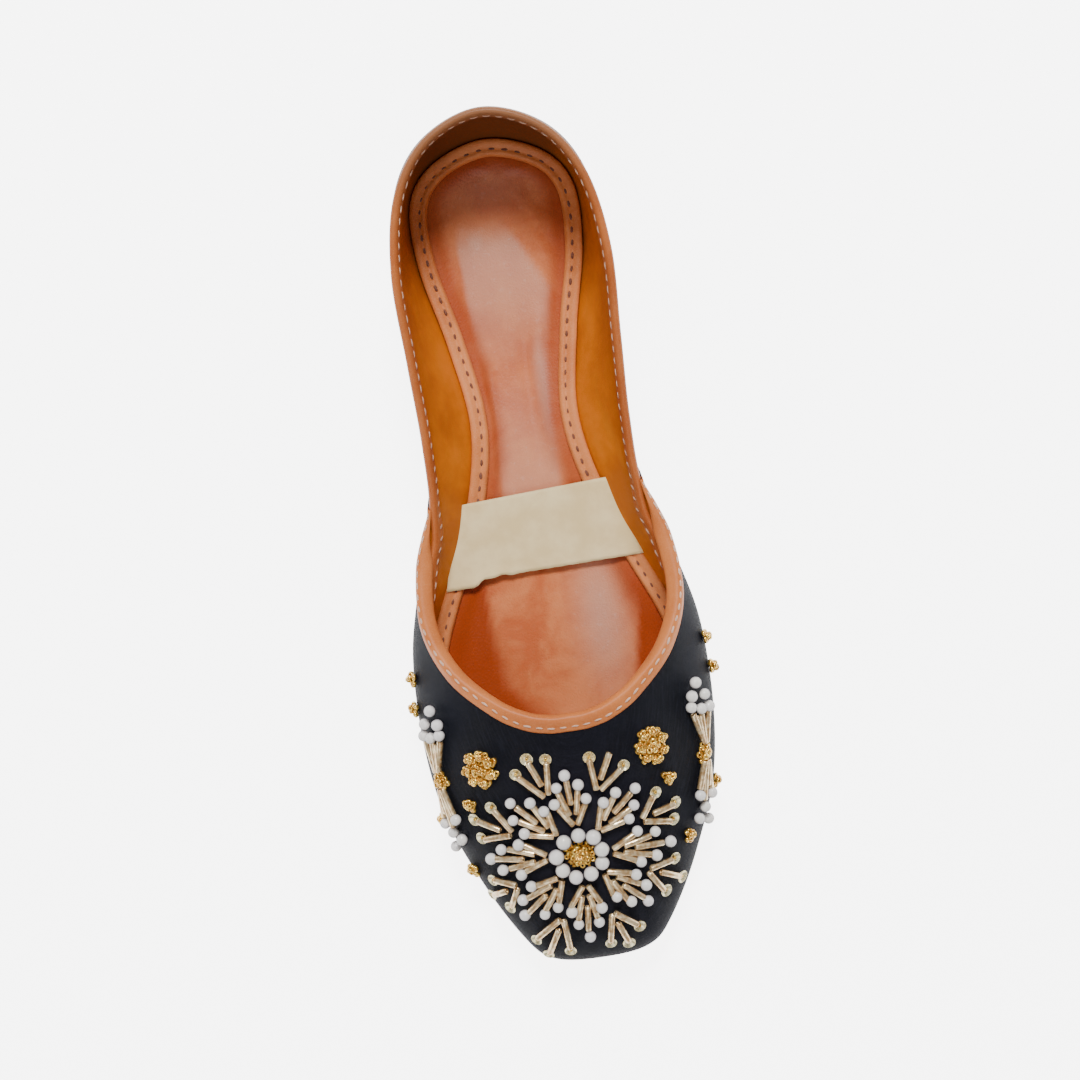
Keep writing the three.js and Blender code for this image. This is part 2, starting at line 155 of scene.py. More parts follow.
def runOf(path):
    # length gone from the start of each line of points
    steps = np.linalg.norm(np.diff(path, axis=-2), axis=-1)
    return np.concatenate([np.zeros((*steps.shape[:-1], 1)), np.cumsum(steps, -1)], -1)


def soleUnder(along):
    along = np.asarray(along, float)
    arch = (along - last["archStart"]) / (last["archEnd"] - last["archStart"])
    spring = (along - last["springStart"]) / (last["length"] - last["springStart"])
    rise = np.where((arch > 0) & (arch < 1), last["archRise"] * np.sin(np.pi * arch) ** 2, 0)
    return rise + np.where(spring > 0, last["springRise"] * spring ** 2, 0)


def seat(along):
    return soleUnder(along) + last["soleThick"] + last["gap"]


def ribAt(rib):
    # sizes at any place between two ribs, on a smooth curve through the table
    rib = np.asarray(rib, float)
    row = np.floor(rib).astype(int)
    t = (rib - row)[..., None]
    a, b, c, d = (allRows[row + spare + step] for step in (-1, 0, 1, 2))
    bend = 2 * a - 5 * b + 4 * c - d + (3 * b - a - 3 * c + d) * t
    return dict(zip(ribColumns, np.moveaxis(b + 0.5 * t * (c - a + bend * t), -1, 0)))


def footPoint(rib):
    row = ribAt(rib)
    along = row["footAlong"] * last["length"]
    return spot(row["footHalf"] * last["ballWidth"] / 2, along, seat(along))


def footOut(rib):
    run = footPoint(rib + footStep) - footPoint(rib - footStep)
    run[..., 2] = 0
    run = unit(run)
    return np.stack([-run[..., 1], run[..., 0], 0 * run[..., 0]], -1)


def base(rib, rise):
    # the wall's middle form: a curve from foot to top through two pulling points
    rib, rise = floats(rib, rise)
    row = ribAt(rib)
    foot, out = footPoint(rib), footOut(rib)
    top = spot(row["topHalf"] * last["ballWidth"] / 2, row["topAlong"] * last["length"],
               row["topHeight"] * last["heelHeight"])
    low = foot + out * row["lowOut"][..., None]
    low[..., 2] += row["lowUp"]
    high = top + out * row["highOut"][..., None]
    high[..., :2] += (foot - top)[..., :2] * row["reach"][..., None]
    high[..., 2] -= row["highDrop"]
    t = rise[..., None]
    s = 1 - t
    return foot * s ** 3 + low * 3 * s * s * t + high * 3 * s * t * t + top * t ** 3


def baseOut(rib, rise):
    rib, rise = floats(rib, rise)
    climb = base(rib, np.minimum(1, rise + wallStep)) - base(rib, np.maximum(0, rise - wallStep))
    run = base(rib + wallStep, rise) - base(rib - wallStep, rise)
    return unit(np.cross(climb, run))


def skin(rib, rise, out):
    rib, rise, out = floats(rib, rise, out)
    away = baseOut(rib, rise)
    away[..., 2] *= smooth(rise / last["levelShare"])
    return base(rib, rise) + unit(away) * out[..., None]


def leaned(rib, rise):
    near = smooth(1 - np.abs(rib - last["lapRib"]) / last["lapSpread"])
    return rib + last["lapSlant"] * near * (1 - rise)


def insideWall(rib, lift):
    # point just inside the wall at a height above the seat
    rib, lift = floats(rib, lift)
    path = skin(rib[:, None], insideRises, -last["wall"] - last["insoleGap"])
    level = footPoint(rib)[:, 2] + lift
    found = []
    for line, height in zip(path, level):
        rise = np.interp(height, line[:, 2], insideRises)
        found.append([np.interp(rise, insideRises, line[:, k]) for k in range(3)])
    return np.array(found)


def trackDistance(x, along, track):
    # distance in plan from a given line, and how far along that line the nearest spot is
    p = np.stack([x, along], -1)
    best = np.full(x.shape, np.inf)
    place = np.zeros(x.shape)
    track = np.array(track, float)
    for i, (a, b) in enumerate(zip(track, track[1:])):
        t = np.clip(((p - a) @ (b - a)) / ((b - a) @ (b - a)), 0, 1)
        d = np.linalg.norm(p - a - t[..., None] * (b - a), axis=-1)
        place = np.where(d < best, (i + t) / (len(track) - 1), place)
        best = np.minimum(best, d)
    return best, place


def foldHeight(x, along, folds):
    # sum of soft ridges (positive) and troughs (negative) that fade out at both ends
    total = np.zeros(np.shape(x))
    for track, width, height in folds:
        d, place = trackDistance(x, along, track)
        ends = smooth(foldFade * place) * smooth(foldFade * (1 - place))
        total = total + height * bump(d, 0, width) * ends
    return total


def gridFaces(rows, columns, closeRows=False, closeColumns=False):
    i = np.arange(rows if closeRows else rows - 1)
    j = np.arange(columns if closeColumns else columns - 1)
    i, j = (v.ravel() for v in np.meshgrid(i, j, indexing="ij"))
    k, l = (i + 1) % rows, (j + 1) % columns
    return np.stack([i * columns + j, i * columns + l, k * columns + l, k * columns + j], -1)


def addObject(name, data):
    made = bpy.data.objects.new(name, data)
    bpy.context.scene.collection.objects.link(made)
    return made


def newPiece(name, points, faces, finishes, faceFinish=None, uv=None, values=None):
    # closed mesh from points in millimetres and four-cornered faces, turned to face outwards
    points = np.asarray(points, float).reshape(-1, 3) * mm
    faces = np.asarray(faces)
    a, b, c, d = (points[faces[:, k]] for k in range(4))
    volume = sum(np.einsum("ij,ij->i", a, np.cross(*pair)).sum() for pair in ((b, c), (c, d)))
    if volume < 0:
        faces = faces[:, ::-1]
    mesh = bpy.data.meshes.new(name)
    mesh.from_pydata(points.tolist(), [], faces.tolist())
    for finish in finishes:
        mesh.materials.append(finish)
    if faceFinish is not None:
        mesh.polygons.foreach_set("material_index", np.asarray(faceFinish, np.int32))
    mesh.polygons.foreach_set("use_smooth", np.ones(len(mesh.polygons), bool))
    if uv is not None:
        corners = np.empty(len(mesh.loops), np.int32)
        mesh.loops.foreach_get("vertex_index", corners)
        own = mesh.uv_layers.new(name="UVMap")
        own.data.foreach_set("uv", np.asarray(uv, np.float32)[corners].ravel())
    for key, numbers in (values or {}).items():
        own = mesh.attributes.new(key, "FLOAT", "POINT")
        own.data.foreach_set("value", np.asarray(numbers, np.float32).ravel())
    work = bmesh.new()
    work.from_mesh(mesh)
    bmesh.ops.remove_doubles(work, verts=work.verts, dist=1e-6)
    bmesh.ops.dissolve_degenerate(work, edges=work.edges, dist=1e-6)
    rim = [edge for edge in work.edges if edge.is_boundary]
    if rim:  # close the open ends
        caps = bmesh.ops.holes_fill(work, edges=rim, sides=0)["faces"]
        bmesh.ops.triangulate(work, faces=caps)
        bmesh.ops.recalc_face_normals(work, faces=work.faces)
    work.to_mesh(mesh)
    work.free()
    mesh.update()
    return addObject(name, mesh)


def settle(piece, slot, *nodes):
    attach(piece, "root")
    if nodes:
        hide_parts(*nodes)
    print("piece:", piece.name, len(piece.data.polygons), "faces")
    return piece


def plug(tree, socket, value):
    if isinstance(value, bpy.types.NodeSocket):
        tree.links.new(value, socket)
    elif socket.type == "RGBA" and len(value) == 3:
        socket.default_value = (*value, 1)
    else:
        socket.default_value = value


def newNode(tree, kind, settings=None, sockets=None):
    node = tree.nodes.new(kind)
    for key, value in (settings or {}).items():
        setattr(node, key, value)
    for key, value in (sockets or {}).items():
        plug(tree, node.inputs[key], value)
    return node


# shader sums written as plain expressions
class Value:
    def __init__(self, finish, socket):
        self.finish = finish
        self.socket = socket

    def sum(self, operation, other):
        return self.finish.add("ShaderNodeMath", {"operation": operation}, {0: self, 1: other})

    def __add__(self, other):
        return self.sum("ADD", other)

    def __sub__(self, other):
        return self.sum("SUBTRACT", other)

    def __mul__(self, other):
        return self.sum("MULTIPLY", other)

    __radd__ = __add__
    __rmul__ = __mul__


class Finish:
    sockets = {
        "color": "Base Color", "roughness": "Roughness", "metallic": "Metallic",
        "coat": "Coat Weight", "coatRoughness": "Coat Roughness", "sheen": "Sheen Weight",
        "sheenRoughness": "Sheen Roughness", "sheenTint": "Sheen Tint",
        "specular": "Specular IOR Level", "glow": "Emission Color",
        "glowStrength": "Emission Strength",
    }

    def __init__(self, name):
        self.material = bpy.data.materials.new(name)
        self.material.use_nodes = True
        self.tree = self.material.node_tree
        self.tree.nodes.clear()
        self.shader = newNode(self.tree, "ShaderNodeBsdfPrincipled")
        newNode(self.tree, "ShaderNodeOutputMaterial", None, {0: self.shader.outputs[0]})

    def add(self, kind, settings=None, sockets=None, out=0):
        sockets = {key: getattr(v, "socket", v) for key, v in (sockets or {}).items()}
        return Value(self, newNode(self.tree, kind, settings, sockets).outputs[out])

    def place(self, size=(1, 1, 1), turn=(0, 0, 0), uv=False):
        # millimetres over size: object coordinates are in metres, the pieces' own maps in mm
        where = self.add("ShaderNodeTexCoord", out="UV" if uv else "Object")
        unitScale = 1 if uv else 1 / mm
        return self.add("ShaderNodeMapping", None, {
            "Vector": where, "Rotation": turn, "Scale": tuple(unitScale / s for s in size)})

    def noise(self, where, size=1.0, detail=3.0, rough=0.55, warp=0.0):
        return self.add("ShaderNodeTexNoise", None, {
            "Vector": where, "Scale": 1 / size, "Detail": detail, "Roughness": rough,
            "Distortion": warp})

    def cells(self, where, size, feature="F1"):
        return self.add("ShaderNodeTexVoronoi", {"feature": feature}, {
            "Vector": where, "Scale": 1 / size})

    def ribs(self, where, axis, warp):
        return self.add("ShaderNodeTexWave", {"wave_type": "BANDS", "bands_direction": axis}, {
            "Vector": where, "Scale": 1.0, "Distortion": warp, "Detail": 1.0,
            "Detail Scale": 1.5})

    def between(self, value, low, high):
        return self.add("ShaderNodeMapRange", {"interpolation_type": "SMOOTHSTEP"}, {
            "Value": value, "From Min": low, "From Max": high})

    def blend(self, share, a, b):
        return self.add("ShaderNodeMix", {"data_type": "RGBA"}, {0: share, 6: a, 7: b}, out=2)

    def own(self, name):
        return self.add("ShaderNodeAttribute", {"attribute_name": name}, out="Fac")

    def relief(self, height, depth):
        normal = self.add("ShaderNodeBump", None, {
            "Height": height, "Distance": depth * mm, "Strength": 1.0})
        plug(self.tree, self.shader.inputs["Normal"], normal.socket)

    def surface(self, **values):
        for key, value in values.items():
            plug(self.tree, self.shader.inputs[self.sockets[key]], getattr(value, "socket", value))
        return self.material


def leather(name, tone, deep, pale, heelShadowTone=None):
    # smooth-grain leather: pebbled cells, soft patches of colour, rubbed high spots, and where
    # given, painted shade towards the back of the heel
    hide = Finish(name)
    where = hide.place()
    wander = hide.noise(where, 18.0, 4, 0.6)
    pebble = hide.cells(where, 0.8)
    fine = hide.noise(where, 0.8 / 2.2, 3, 0.6)
    color = hide.blend(hide.between(wander, 0.35, 0.68), deep, tone)
    color = hide.blend(hide.between(fine, 0.45, 0.8) * 0.35, color, pale)
    # painted shade: darker towards the back of the heel
    if heelShadowTone:
        heelStart, heelEnd = 80, 116
        back = hide.add("ShaderNodeSeparateXYZ", None, {0: where}, out=1)
        color = hide.blend(hide.between(back, heelStart, heelEnd), color, heelShadowTone)
    hide.relief(pebble * 0.6 + fine * 0.5, 0.06)
    return hide.surface(color=color, roughness=0.38 + 0.2 * wander, coat=0.06, coatRoughness=0.3,
                        specular=0.22)


def silk():
    # raw silk: fine plain weave with long slubs across, a faint blue sheen, and a painted navy
    # highlight on top of the vamp
    cloth = Finish("blackSilk")
    weave = cloth.place((0.42, 0.42, 1), uv=True)
    warp = cloth.ribs(weave, "X", 0.6)
    weft = cloth.ribs(weave, "Y", 0.6)
    slub = cloth.noise(cloth.place((9, 0.7, 1), uv=True), 1.0, 3, 0.6)
    cloud = cloth.noise(cloth.place(), 22, 3, 0.5)
    color = cloth.blend(cloth.between(slub, 0.42, 0.75), (0.0058, 0.0061, 0.009),
                        (0.0145, 0.0153, 0.0235))
    color = cloth.blend(cloth.between(cloud, 0.4, 0.7) * 0.5, color, (0.01, 0.0108, 0.019))
    # painted highlight: lighter navy on top of the vamp
    color = cloth.blend(cloth.own("paintedTopSheen"), color, (0.024, 0.0225, 0.033))
    cloth.relief((warp * 0.5 + weft * 0.5) * 0.6 + slub * 1.1, 0.1)
    return cloth.surface(color=color, roughness=0.42 + 0.2 * slub, sheen=0.01, sheenRoughness=0.45,
                         sheenTint=(0.5, 0.55, 0.75), specular=0.07)


def lining():
    # mustard lining, with painted shade behind the heel
    hide = Finish("mustardLining")
    where = hide.place()
    wander = hide.noise(where, 20, 4, 0.6)
    streak = hide.noise(hide.place((16, 16, 3)), 1.0, 3, 0.5)
    fine = hide.noise(where, 0.45, 3, 0.6)
    pebble = hide.cells(where, 0.8)
    color = hide.blend(hide.between(wander, 0.35, 0.7), (0.47, 0.118, 0.004), (0.66, 0.185, 0.005))
    color = hide.blend(hide.between(streak, 0.5, 0.8) * 0.4, color, (0.6, 0.2, 0.012))
    # painted shade: deep brown on the lining behind the heel
    color = hide.blend(hide.own("paintedLiningShade"), color, (0.15, 0.045, 0.014))
    hide.relief(pebble * 0.5 + fine * 0.6, 0.05)
    return hide.surface(color=color, roughness=0.5 + 0.15 * wander, coat=0.04, coatRoughness=0.4,
                        specular=0.2)


def insoleHide():
    # glossy brown leather; painted shade, deep red towards the edges and brown at the heel; a
    # painted pale sheen where the foot has polished it, which is also glossier there
    hide = Finish("insoleLeather")
    where = hide.place()
    wander = hide.noise(where, 14, 5, 0.62, 0.4)
    crackle = hide.cells(where, 1.1, "DISTANCE_TO_EDGE")
    fine = hide.noise(where, 0.5, 4, 0.65)
    fleck = hide.noise(where, 1.7, 4, 0.7)
    polishAndSheen = hide.own("polishAndPaintedSheen")
    color = hide.blend(hide.between(wander, 0.32, 0.7), (0.5, 0.11, 0.03), (0.65, 0.205, 0.072))
    # painted shade: deeper brown towards the heel
    color = hide.blend(hide.own("padHeelShade"), color, (0.27, 0.065, 0.02))
    # painted sheen: a pale pink highlight where polished; the same mask lowers roughness and adds
    # coat
    color = hide.blend(polishAndSheen * 0.8, color, (0.56, 0.3, 0.215))
    # pale flecks, most of them in the painted sheen
    color = hide.blend(hide.between(fleck, 0.55, 0.75) * (0.05 + 0.5 * polishAndSheen), color,
                       (0.62, 0.37, 0.29))
    # painted shade: deep red along the edges and beside the forefoot lines
    color = hide.blend(hide.own("edgeShade"), color, (0.3, 0.034, 0.001))
    hide.relief(hide.between(crackle, 0.0, 0.25) * 0.35 + fine * 0.6 + fleck * 0.4, 0.07)
    return hide.surface(color=color, roughness=0.38 + 0.2 * wander - 0.1 * polishAndSheen,
                        coat=0.02 + 0.3 * polishAndSheen, coatRoughness=0.2, specular=0.16)


def labelCloth():
    cloth = Finish("labelCloth")
    weave = cloth.place((0.5, 0.5, 1), uv=True)
    stain = cloth.noise(cloth.place(), 9, 4, 0.6)
    warp = cloth.ribs(weave, "X", 0.3)
    weft = cloth.ribs(weave, "Y", 0.3)
    color = cloth.blend(cloth.between(stain, 0.35, 0.7), (0.82, 0.62, 0.29), (0.95, 0.78, 0.42))
    color = cloth.blend((warp * weft) * 0.25, color, (0.95, 0.82, 0.52))
    cloth.relief(warp * 0.5 + weft * 0.5, 0.05)
    return cloth.surface(color=color, roughness=0.7 + 0.12 * stain, sheen=0.15)


def thread(name, tone, shade):
    twist = Finish(name)
    ply = twist.ribs(twist.place((0.35, 0.35, 0.35), (0.3, 0.2, 0.7)), "DIAGONAL", 0.5)
    twist.relief(ply, 0.06)
    return twist.surface(color=twist.blend(ply, shade, tone), roughness=0.6 + 0.1 * ply, sheen=0.1)


def pearlCoat():
    # cream and white drifts, greyer clouds, and painted shade darker towards the rim of each pearl
    coat = Finish("pearl")
    where = coat.place()
    cloud = coat.noise(where, 2.4, 3, 0.5)
    drift = coat.noise(where, 9, 2, 0.5)
    facing = coat.add("ShaderNodeLayerWeight", None, {"Blend": 0.5}, out="Facing")
    color = coat.blend(coat.between(drift, 0.35, 0.65), (0.8, 0.765, 0.745), (0.82, 0.79, 0.73))
    color = coat.blend(coat.between(cloud, 0.5, 0.8) * 0.5, color, (0.6, 0.59, 0.61))
    # painted shade: darker where the pearl's surface turns away from the eye
    color = coat.blend(coat.between(facing, 0.25, 0.85), color, (0.26, 0.235, 0.25))
    coat.relief(cloud, 0.03)
    return coat.surface(color=color, roughness=0.3 + 0.12 * cloud, coat=0.35, coatRoughness=0.05,
                        specular=0.3)


def brightBead(name, tone, deep, metallic, roughness):
    glass = Finish(name)
    where = glass.place()
    drift = glass.noise(where, 1.6, 2, 0.5)
    streak = glass.noise(where, 0.5, 3, 0.6)
    glass.relief(streak, 0.04)
    return glass.surface(color=glass.blend(glass.between(drift, 0.35, 0.68), deep, tone),
                         roughness=roughness + 0.15 * streak, metallic=metallic, coat=0.5,
                         coatRoughness=0.08)


def soleHide():
    hide = Finish("soleLeather")
    where = hide.place()
    wander = hide.noise(where, 25, 5, 0.6)
    layers = hide.noise(hide.place((14, 14, 0.5)), 1.0, 3, 0.6)
    scuff = hide.noise(hide.place((2.5, 11, 4)), 1.0, 4, 0.7)
    fine = hide.noise(where, 0.6, 4, 0.65)
    color = hide.blend(hide.between(wander, 0.35, 0.7), (0.33, 0.165, 0.07), (0.47, 0.27, 0.13))
    color = hide.blend(hide.between(layers, 0.55, 0.75) * 0.4, color, (0.22, 0.1, 0.04))
    color = hide.blend(hide.between(scuff, 0.6, 0.8) * 0.45, color, (0.6, 0.41, 0.25))
    hide.relief(fine * 0.7 + layers * 0.5 + scuff * 0.4, 0.09)
    return hide.surface(color=color, roughness=0.55 + 0.2 * wander)


blackSilk = silk()
mustardLining = lining()
insoleLeather = insoleHide()
bandLeather = leather("bandLeather", (0.66, 0.225, 0.07), (0.52, 0.15, 0.04), (0.76, 0.4, 0.2))
# the collar binding has painted shade at the heel
collarLeather = leather("collarLeather", (0.47, 0.128, 0.028), (0.38, 0.088, 0.016),
                        (0.58, 0.24, 0.09), heelShadowTone=(0.25, 0.095, 0.035))
throatLeather = leather("throatLeather", (0.6, 0.185, 0.048), (0.5, 0.135, 0.03),
                        (0.7, 0.31, 0.125))
soleLeather = soleHide()
labelFinish = labelCloth()
creamThread = thread("creamThread", (0.86, 0.58, 0.42), (0.66, 0.37, 0.24))
brownThread = thread("brownThread", (0.25, 0.09, 0.045), (0.13, 0.045, 0.022))
pearl = pearlCoat()
bugleGold = brightBead("bugleGold", (0.9, 0.72, 0.44), (0.56, 0.34, 0.15), 0.7, 0.16)
seedGold = brightBead("seedGold", (1.0, 0.67, 0.14), (0.64, 0.33, 0.05), 0.8, 0.12)
sequinGold = brightBead("sequinGold", (0.92, 0.85, 0.55), (0.78, 0.66, 0.36), 0.6, 0.2)
print("finishes made")


# repeated pieces: one tree that sews a small shape on at every point
def sewingTree():
    tree = bpy.data.node_groups.new("sewOn", "GeometryNodeTree")
    for name, kind in (("Points", "Geometry"), ("Shape", "Object"), ("Uneven size", "Float"),
                       ("Twist", "Float"), ("Seed", "Int"), ("Finish", "Material")):
        tree.interface.new_socket(name, in_out="INPUT", socket_type="NodeSocket" + kind)
    tree.interface.new_socket("Sewn", in_out="OUTPUT", socket_type="NodeSocketGeometry")
    given = newNode(tree, "NodeGroupInput").outputs

    def node(kind, settings=None, sockets=None, out=0):
        return newNode(tree, kind, settings, sockets).outputs[out]

    def stored(name):
        return node("GeometryNodeInputNamedAttribute", {"data_type": "FLOAT_VECTOR"},
                    {"Name": name})

    def sums(operation, a, b):
        return node("ShaderNodeMath", {"operation": operation}, {0: a, 1: b})

    def chance(low, high):
        return node("FunctionNodeRandomValue", {"data_type": "FLOAT"},
                    {2: low, 3: high, "Seed": given["Seed"]}, out=1)

    facing = node("FunctionNodeAxesToRotation", {"primary_axis": "Z", "secondary_axis": "X"},
                  {0: stored("out"), 1: stored("way")})
    spin = chance(sums("MULTIPLY", given["Twist"], -1.0), given["Twist"])
    turned = node("FunctionNodeRotateRotation", {"rotation_space": "LOCAL"},
                  {0: facing, 1: node("ShaderNodeCombineXYZ", None, {2: spin})})
    uneven = given["Uneven size"]
    swell = chance(sums("SUBTRACT", 1.0, uneven), sums("ADD", 1.0, uneven))
    scaled = node("ShaderNodeVectorMath", {"operation": "SCALE"},
                  {0: stored("size"), "Scale": swell})
    shape = node("GeometryNodeObjectInfo", None, {"Object": given["Shape"]}, out="Geometry")
    sewn = node("GeometryNodeInstanceOnPoints", None, {
        "Points": given["Points"], "Instance": shape, "Rotation": turned, "Scale": scaled})
    real = node("GeometryNodeRealizeInstances", None, {0: sewn})
    painted = node("GeometryNodeSetMaterial", None, {
        "Geometry": real, "Material": given["Finish"]})
    newNode(tree, "NodeGroupOutput", None, {0: painted})
    return tree


sewOn = sewingTree()
sewOnKeys = {item.name: item.identifier for item in sewOn.interface.items_tree
             if item.in_out == "INPUT"}


def turnedShape(name, profile, sides, closed=False):
    # small shape turned round Z from (radius, height) pairs, in millimetres
    angles = np.arange(sides) * 2 * np.pi / sides
    rings = np.array([[[r * np.cos(a), r * np.sin(a), h] for r, h in profile] for a in angles])
    return newPiece(name, rings, gridFaces(sides, len(profile), True, closed), [])


def stitchShape(name):
    # thread lying along X, dipping into the leather at both ends
    steps, sides = 7, 6
    flat, dip, lift = 0.5, 0.35, 0.1
    rings = []
    for e in np.linspace(-1, 1, steps):
        r = 0.5 * math.sqrt(max(0.02, 1 - abs(e) ** 3))
        girth = np.arange(sides) * 2 * np.pi / sides
        rings.append([[e * 0.5, r * math.cos(a), flat * r * math.sin(a) - dip * e * e + lift]
                      for a in girth])
    return newPiece(name, np.array(rings), gridFaces(steps, sides, False, True), [])


def sew(name, shape, finish, points, ways, outs, sizes, uneven, twist, seed):
    points = np.asarray(points, float).reshape(-1, 3)
    mesh = bpy.data.meshes.new(name)
    mesh.from_pydata((points * mm).tolist(), [], [])
    stored = {"way": ways, "out": outs, "size": sizes}
    for key, rows in stored.items():
        rows = np.broadcast_to(np.asarray(rows, float), points.shape).astype(np.float32)
        own = mesh.attributes.new(key, "FLOAT_VECTOR", "POINT")
        own.data.foreach_set("vector", rows.ravel())
    carrier = addObject(name + "Points", mesh)
    modifier = carrier.modifiers.new("sewOn", "NODES")
    modifier.node_group = sewOn
    inputs = {"Shape": shape, "Uneven size": uneven, "Twist": twist, "Seed": seed,
              "Finish": finish}
    for key, value in inputs.items():
        modifier[sewOnKeys[key]] = value
    graph = bpy.context.evaluated_depsgraph_get()
    plain = bpy.data.meshes.new_from_object(carrier.evaluated_get(graph))
    plain.name = name
    carrier.modifiers.clear()
    bpy.data.objects.remove(carrier)
    plain.polygons.foreach_set("use_smooth", np.ones(len(plain.polygons), bool))
    plain.materials.clear()
    plain.materials.append(finish)
    plain.polygons.foreach_set("material_index", np.zeros(len(plain.polygons), np.int32))
    for key in stored:
        if key in plain.attributes:
            plain.attributes.remove(plain.attributes[key])
    return addObject(name, plain)


def joined(name, pieces):
    # several sewn rows as one piece, each with its own finish
    work = bmesh.new()
    mesh = bpy.data.meshes.new(name)
    for number, piece in enumerate(pieces):
        start = len(work.faces)
        work.from_mesh(piece.data)
        work.faces.ensure_lookup_table()
        mesh.materials.append(piece.data.materials[0])
        for face in work.faces[start:]:
            face.material_index = number
        bpy.data.objects.remove(piece)
    work.to_mesh(mesh)
    work.free()
    return addObject(name, mesh)


# the collar strip leaves the edge before the lap and runs down inside the vamp to the insole
stripCut = {
    "ribs": [5.7, 6.0, 6.3, 6.6, 6.9, 7.3, 7.8],
    "drop": [0, 0.4, 1.2, 2.0, 2.9, 4.2, 6.0],
    "insetRibs": (5.9, 6.7),
    "inset": 1.9,
    "end": 7.7,
}


def stripDrop(rib):
    return np.interp(rib, stripCut["ribs"], stripCut["drop"])


def stripInset(rib):
    return stripCut["inset"] * ramp(rib, *stripCut["insetRibs"])


def lapOpen(rib):
    # share of its thickness that the vamp has gained past the lap, outside the quarter
    return ramp(rib, last["lapRib"], last["lapRib"] + 1)


# the upper: black silk outside, mustard lining inside, the vamp lapped over the quarter
upperCut = {
    "quarterSteps": 90,
    "vampSteps": 130,
    "riseSteps": 44,
    "lapColumns": [(5.965, 0.0), (5.985, 0.35), (6.0, 0.8), (6.02, 1.0)],
    "columnGap": 0.05,
    "skive": 0.9,  # the wall thins by this much towards its edge
    "skiveRises": (0.55, 0.95),
    # the lap's own edge is thinner still, over these rises
    "lapThin": 0.4,
    "lapRises": (0.5, 0.8),
    # the quarter's front end passes inside the vamp, from this far below the strip
    "flapBelow": 1.2,
    "flapSoft": 0.8,
    "flapEnd": (7.4, 7.9),
    "flapEase": 9,
    "flapWall": 0.95,
    "flapWallInset": 0.6,
    "flapWallEase": 6,
    "flapFoot": 0.1,
    # swells and hollows of the vamp: half, along, radius, height
    "swells": [(0, 196, 16, 0.35), (22, 178, 11, 0.3), (-25, 181, 12, 0.25), (9, 224, 9, -0.35),
               (-12, 223, 9, -0.3), (34, 160, 9, -0.35), (-35, 158, 10, -0.3), (30, 201, 8, 0.3),
               (-31, 199, 8, 0.3)],
    # painted highlight on top of the vamp: along, reach across, reach along, strength
    "sheen": (200, 17, 24, 0.75),
    # slack of the lining: rib, rise, reach in ribs, depth
    "slack": [(2.4, 0.45, 0.5, 0.7), (3.7, 0.4, 0.6, -0.5), (4.6, 0.5, 0.4, 0.5),
              (5.3, 0.45, 0.4, -0.4)],
    "slackRise": 0.3,
    # painted shade on the lining behind the heel: ribs, strength, and how much of it is lost at the
    # edge
    "heelRibs": (0.9, 2.4),
    "liningShadeStrength": (0.95, 0.3),
}


